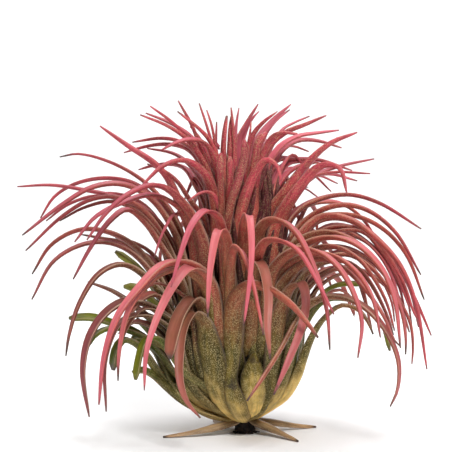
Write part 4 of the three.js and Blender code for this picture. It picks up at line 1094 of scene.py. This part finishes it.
def leaf_material(name, groups, lower, upper, cover, silver_far, rim_share, dry_from, scars=()):
    """A leaf: its two faces' colours, then scales, rim, dry tip and scars over them."""
    material, n = new_material(name)
    share, is_upper, margin, flush, tone, painted_light_and_tone = (
        n.attribute(key).outputs["Fac"]
        for key in ("share", "upper", "margin", "flush", "leaf_tone", "leaf_painted_light_and_tone")
    )
    place = n.attribute("leaf_place").outputs["Vector"]
    common = {"Along": flush, "Place": place, "Tone": tone}
    below = n.group(groups["colour"], {**common, **lower})["Colour"]
    above = n.group(groups["colour"], {**common, **upper, "Mottle": MOTTLE_ABOVE})["Colour"]
    colour = n.blend(is_upper, below, above)
    # Painted shade: a sheath darker towards its edges, most at the foot, fading out up the leaf
    painted_edge_shade = n.times(n.ramp(margin, *PAINTED_SHADE_EDGE), n.ramp(flush, *PAINTED_SHADE_SHARE))
    # Each leaf's painted light and shade, with its random tone, scales the colour's value
    value = n.times(n.math("SUBTRACT", 1.0, painted_edge_shade), painted_light_and_tone)
    colour = n.add("ShaderNodeHueSaturation", {"Color": colour, "Value": value}).outputs[0]
    scales = n.group(groups["scales"], {"Place": place, "Cover": cover})["Mask"]
    reach = n.add("ShaderNodeSeparateXYZ", {0: place}).outputs[1]
    fade = n.ramp(reach, silver_far * SCALES_FULL, silver_far, 1.0, SCALES_FAR)
    silver = n.times(n.times(scales, n.ramp(is_upper, *SCALES_ABOVE)), fade)
    colour = n.blend(n.times(silver, SCALES_COLOUR), colour, SILVER)
    pale = n.ramp(flush, *RIM_PINK, rim_share, rim_share * RIM_LEAST)
    rim = n.times(n.ramp(margin, *RIM_EDGE), pale)
    rim = n.times(rim, n.ramp(flush, *RIM_FOOT))
    colour = n.blend(rim, colour, MARGIN)
    tip_from = n.math("ADD", n.times(tone, DRY_VARY), dry_from)
    dry = n.group(groups["dry"], {"Share": share, "Place": place, "From": tip_from})["Mask"]
    colour = n.blend(dry, colour, DRY)
    veins = n.group(groups["veins"], {"Place": place})["Height"]
    height = n.math("ADD", n.times(silver, SCALES_HIGH), n.times(veins, VEIN_HIGH))
    for centre, size in scars:
        point = n.add("ShaderNodeTexCoord").outputs["Object"]
        scar = n.group(groups["scar"], {"Point": point, "Centre": centre, "Size": size})["Mask"]
        colour = n.blend(n.times(scar, SCAR_COLOUR), colour, SCAR)
        height = n.math("SUBTRACT", height, n.times(scar, SCAR_DEEP))
    bump = n.add("ShaderNodeBump", {"Strength": 0.5, "Distance": 0.00012, "Height": height})
    shader = n.add("ShaderNodeBsdfPrincipled", {
        "Base Color": colour,
        "Roughness": n.ramp(silver, *LEAF_ROUGH),
        "Normal": bump.outputs[0],
        "Subsurface Weight": 0.1,
        "Subsurface Radius": (0.004, 0.0016, 0.001),
        "Subsurface Scale": 0.6,
        "Specular IOR Level": 0.2,
        "Sheen Weight": 0.04,
        "Sheen Roughness": 0.5,
        "Sheen Tint": (1.0, 0.84, 0.82, 1.0),
    })
    n.add("ShaderNodeOutputMaterial", {"Surface": shader.outputs[0]})
    return material


def root_material():
    """Black root with paler fibres."""
    material, n = new_material("Dead root")
    place = n.add("ShaderNodeTexCoord").outputs["Object"]
    fibres = n.add("ShaderNodeTexNoise", {"Vector": place, "Scale": 900.0, "Detail": 4.0})
    colour = n.blend(n.ramp(fibres.outputs[0], *ROOT_FIBRES), ROOT_DARK, ROOT_PALE)
    bump = n.add("ShaderNodeBump", {"Strength": 0.8, "Distance": 0.0003, "Height": fibres.outputs[0]})
    shader = n.add("ShaderNodeBsdfPrincipled", {
        "Base Color": colour,
        "Roughness": 0.9,
        "Normal": bump.outputs[0],
    })
    n.add("ShaderNodeOutputMaterial", {"Surface": shader.outputs[0]})
    return material


def pale_material(name, colour):
    material = bpy.data.materials.new(name)
    material.use_nodes = True
    shader = material.node_tree.nodes["Principled BSDF"]
    shader.inputs["Base Color"].default_value = colour
    shader.inputs["Roughness"].default_value = 0.9
    return material


def new_object(name, data):
    """An object of its own in the scene."""
    item = bpy.data.objects.new(name, data)
    bpy.context.scene.collection.objects.link(item)
    return item


def make_camera():
    """A camera that frames the plant as the photograph does."""
    data = bpy.data.cameras.new("View")
    camera = new_object("View", data)
    eye = Vector((EYE_SIDE, -EYE_FAR, EYE_HIGH)) * MM
    target = Vector((VIEW_SIDE, 0, VIEW_HIGH)) * MM
    camera.location = eye
    camera.rotation_euler = (target - eye).to_track_quat("-Z", "Y").to_euler()
    data.sensor_width = SENSOR
    data.lens = SENSOR * (target - eye).length / (VIEW_WIDE * MM)
    data.clip_start = CLIP_NEAR
    data.clip_end = CLIP_FAR
    bpy.context.scene.camera = camera


def make_light(name, place, size, power, aim):
    data = bpy.data.lights.new(name, "AREA")
    data.shape = "DISK"
    data.size = size
    data.energy = power
    light = new_object(name, data)
    light.location = place
    light.rotation_euler = (Vector(aim) - Vector(place)).to_track_quat("-Z", "Y").to_euler()


def make_stage():
    """A pale floor that curves up behind the plant."""
    outline = [(FLOOR_FRONT, 0.0)]
    for i in range(FLOOR_STEPS + 1):
        a = math.pi / 2 * i / FLOOR_STEPS
        y = FLOOR_BACK - FLOOR_BEND + FLOOR_BEND * math.sin(a)
        outline.append((y, FLOOR_BEND - FLOOR_BEND * math.cos(a)))
    outline.append((FLOOR_BACK, FLOOR_TOP))
    places = [(x, y, z) for y, z in outline for x in (-FLOOR_HALF, FLOOR_HALF)]
    faces = [(2 * i, 2 * i + 1, 2 * i + 3, 2 * i + 2) for i in range(len(outline) - 1)]
    mesh = bpy.data.meshes.new("Backdrop")
    mesh.from_pydata(places, [], faces)
    mesh.polygons.foreach_set("use_smooth", [True] * len(faces))
    mesh.materials.append(pale_material("Pale floor", PALE))
    new_object("Backdrop", mesh)


def make_lights():
    """A soft key above the camera, a weak fill at its left, a top light and a lit backdrop."""
    for name, light in LIGHTS.items():
        make_light(name, *light)
    world = bpy.data.worlds.new("Studio")
    bpy.context.scene.world = world
    world.use_nodes = True
    background = world.node_tree.nodes["Background"]
    background.inputs["Color"].default_value = (1, 1, 1, 1)
    background.inputs["Strength"].default_value = WORLD_STRENGTH
    bpy.context.scene.view_settings.view_transform = "Standard"


def make_plant():
    """Every piece of the plant; the last number numbers a piece's leaves for their draws."""
    groups = {
        "scales": silver_scales_group(),
        "colour": leaf_colour_group(),
        "dry": dry_tip_group(),
        "veins": veins_group(),
        "scar": scar_group(),
    }
    look = {name: leaf_material(name, groups, *given) for name, given in LEAF_LOOKS.items()}
    crown = listed(CROWN, wider=1.3, flush=0.0)
    # A group's last factor is painted light and shade on its lowest leaves: below 1 painted shade, above
    # 1 painted light
    columns = listed(CROWN_CUT, wider=1.04, flush=-0.08, painted_light_and_tone=0.3, blunt=True)
    left = listed(LEFT_ARCHES, wider=1.14, flush=-0.04, painted_light_and_tone=0.5)
    right = listed(RIGHT_ARCHES, wider=1.1, flush=-0.02, painted_light_and_tone=0.84)
    front = listed(FRONT, wider=1.0, flush=0.04, painted_light_and_tone=1.06)
    trimmed = listed(TRIMMED, wider=1.1, flush=0.0, painted_light_and_tone=1.2, blunt=True)
    base = base_leaves(BASE) + base_leaves(BASE_CUT, blunt=True)
    leaf_piece("crown_leaves", crown, look["Young leaf"], 0)
    leaf_piece("crown_columns", columns, look["Cut leaf"], 70)
    leaf_piece("left_leaves", left, look["Living leaf"], 100)
    leaf_piece("right_leaves", right, look["Living leaf"], 200)
    leaf_piece("front_leaves", front, look["Living leaf"], 300)
    leaf_piece("base_leaves", base, look["Foot leaf"], 350)
    leaf_piece("worn_leaves", base_leaves(OLD_CUT, blunt=True), look["Old leaf"], 380)
    leaf_piece("low_leaves", base_leaves(OLD_LOW, blunt=True), look["Old leaf"], 390)
    leaf_piece("dead_leaves", prop_leaves(), look["Dead leaf"], 395)
    leaf_piece("trimmed_leaves", trimmed, look["Old leaf"], 400)
    leaf_piece("back_leaves", back_leaves(), look["Living leaf"], 500)
    # The inner leaves are coloured dark as painted shade
    leaf_piece("inner_leaves", inner_leaves(), look["Shaded leaf"], 600)
    root_piece(root_material())


make_camera()
make_stage()
make_lights()
make_plant()
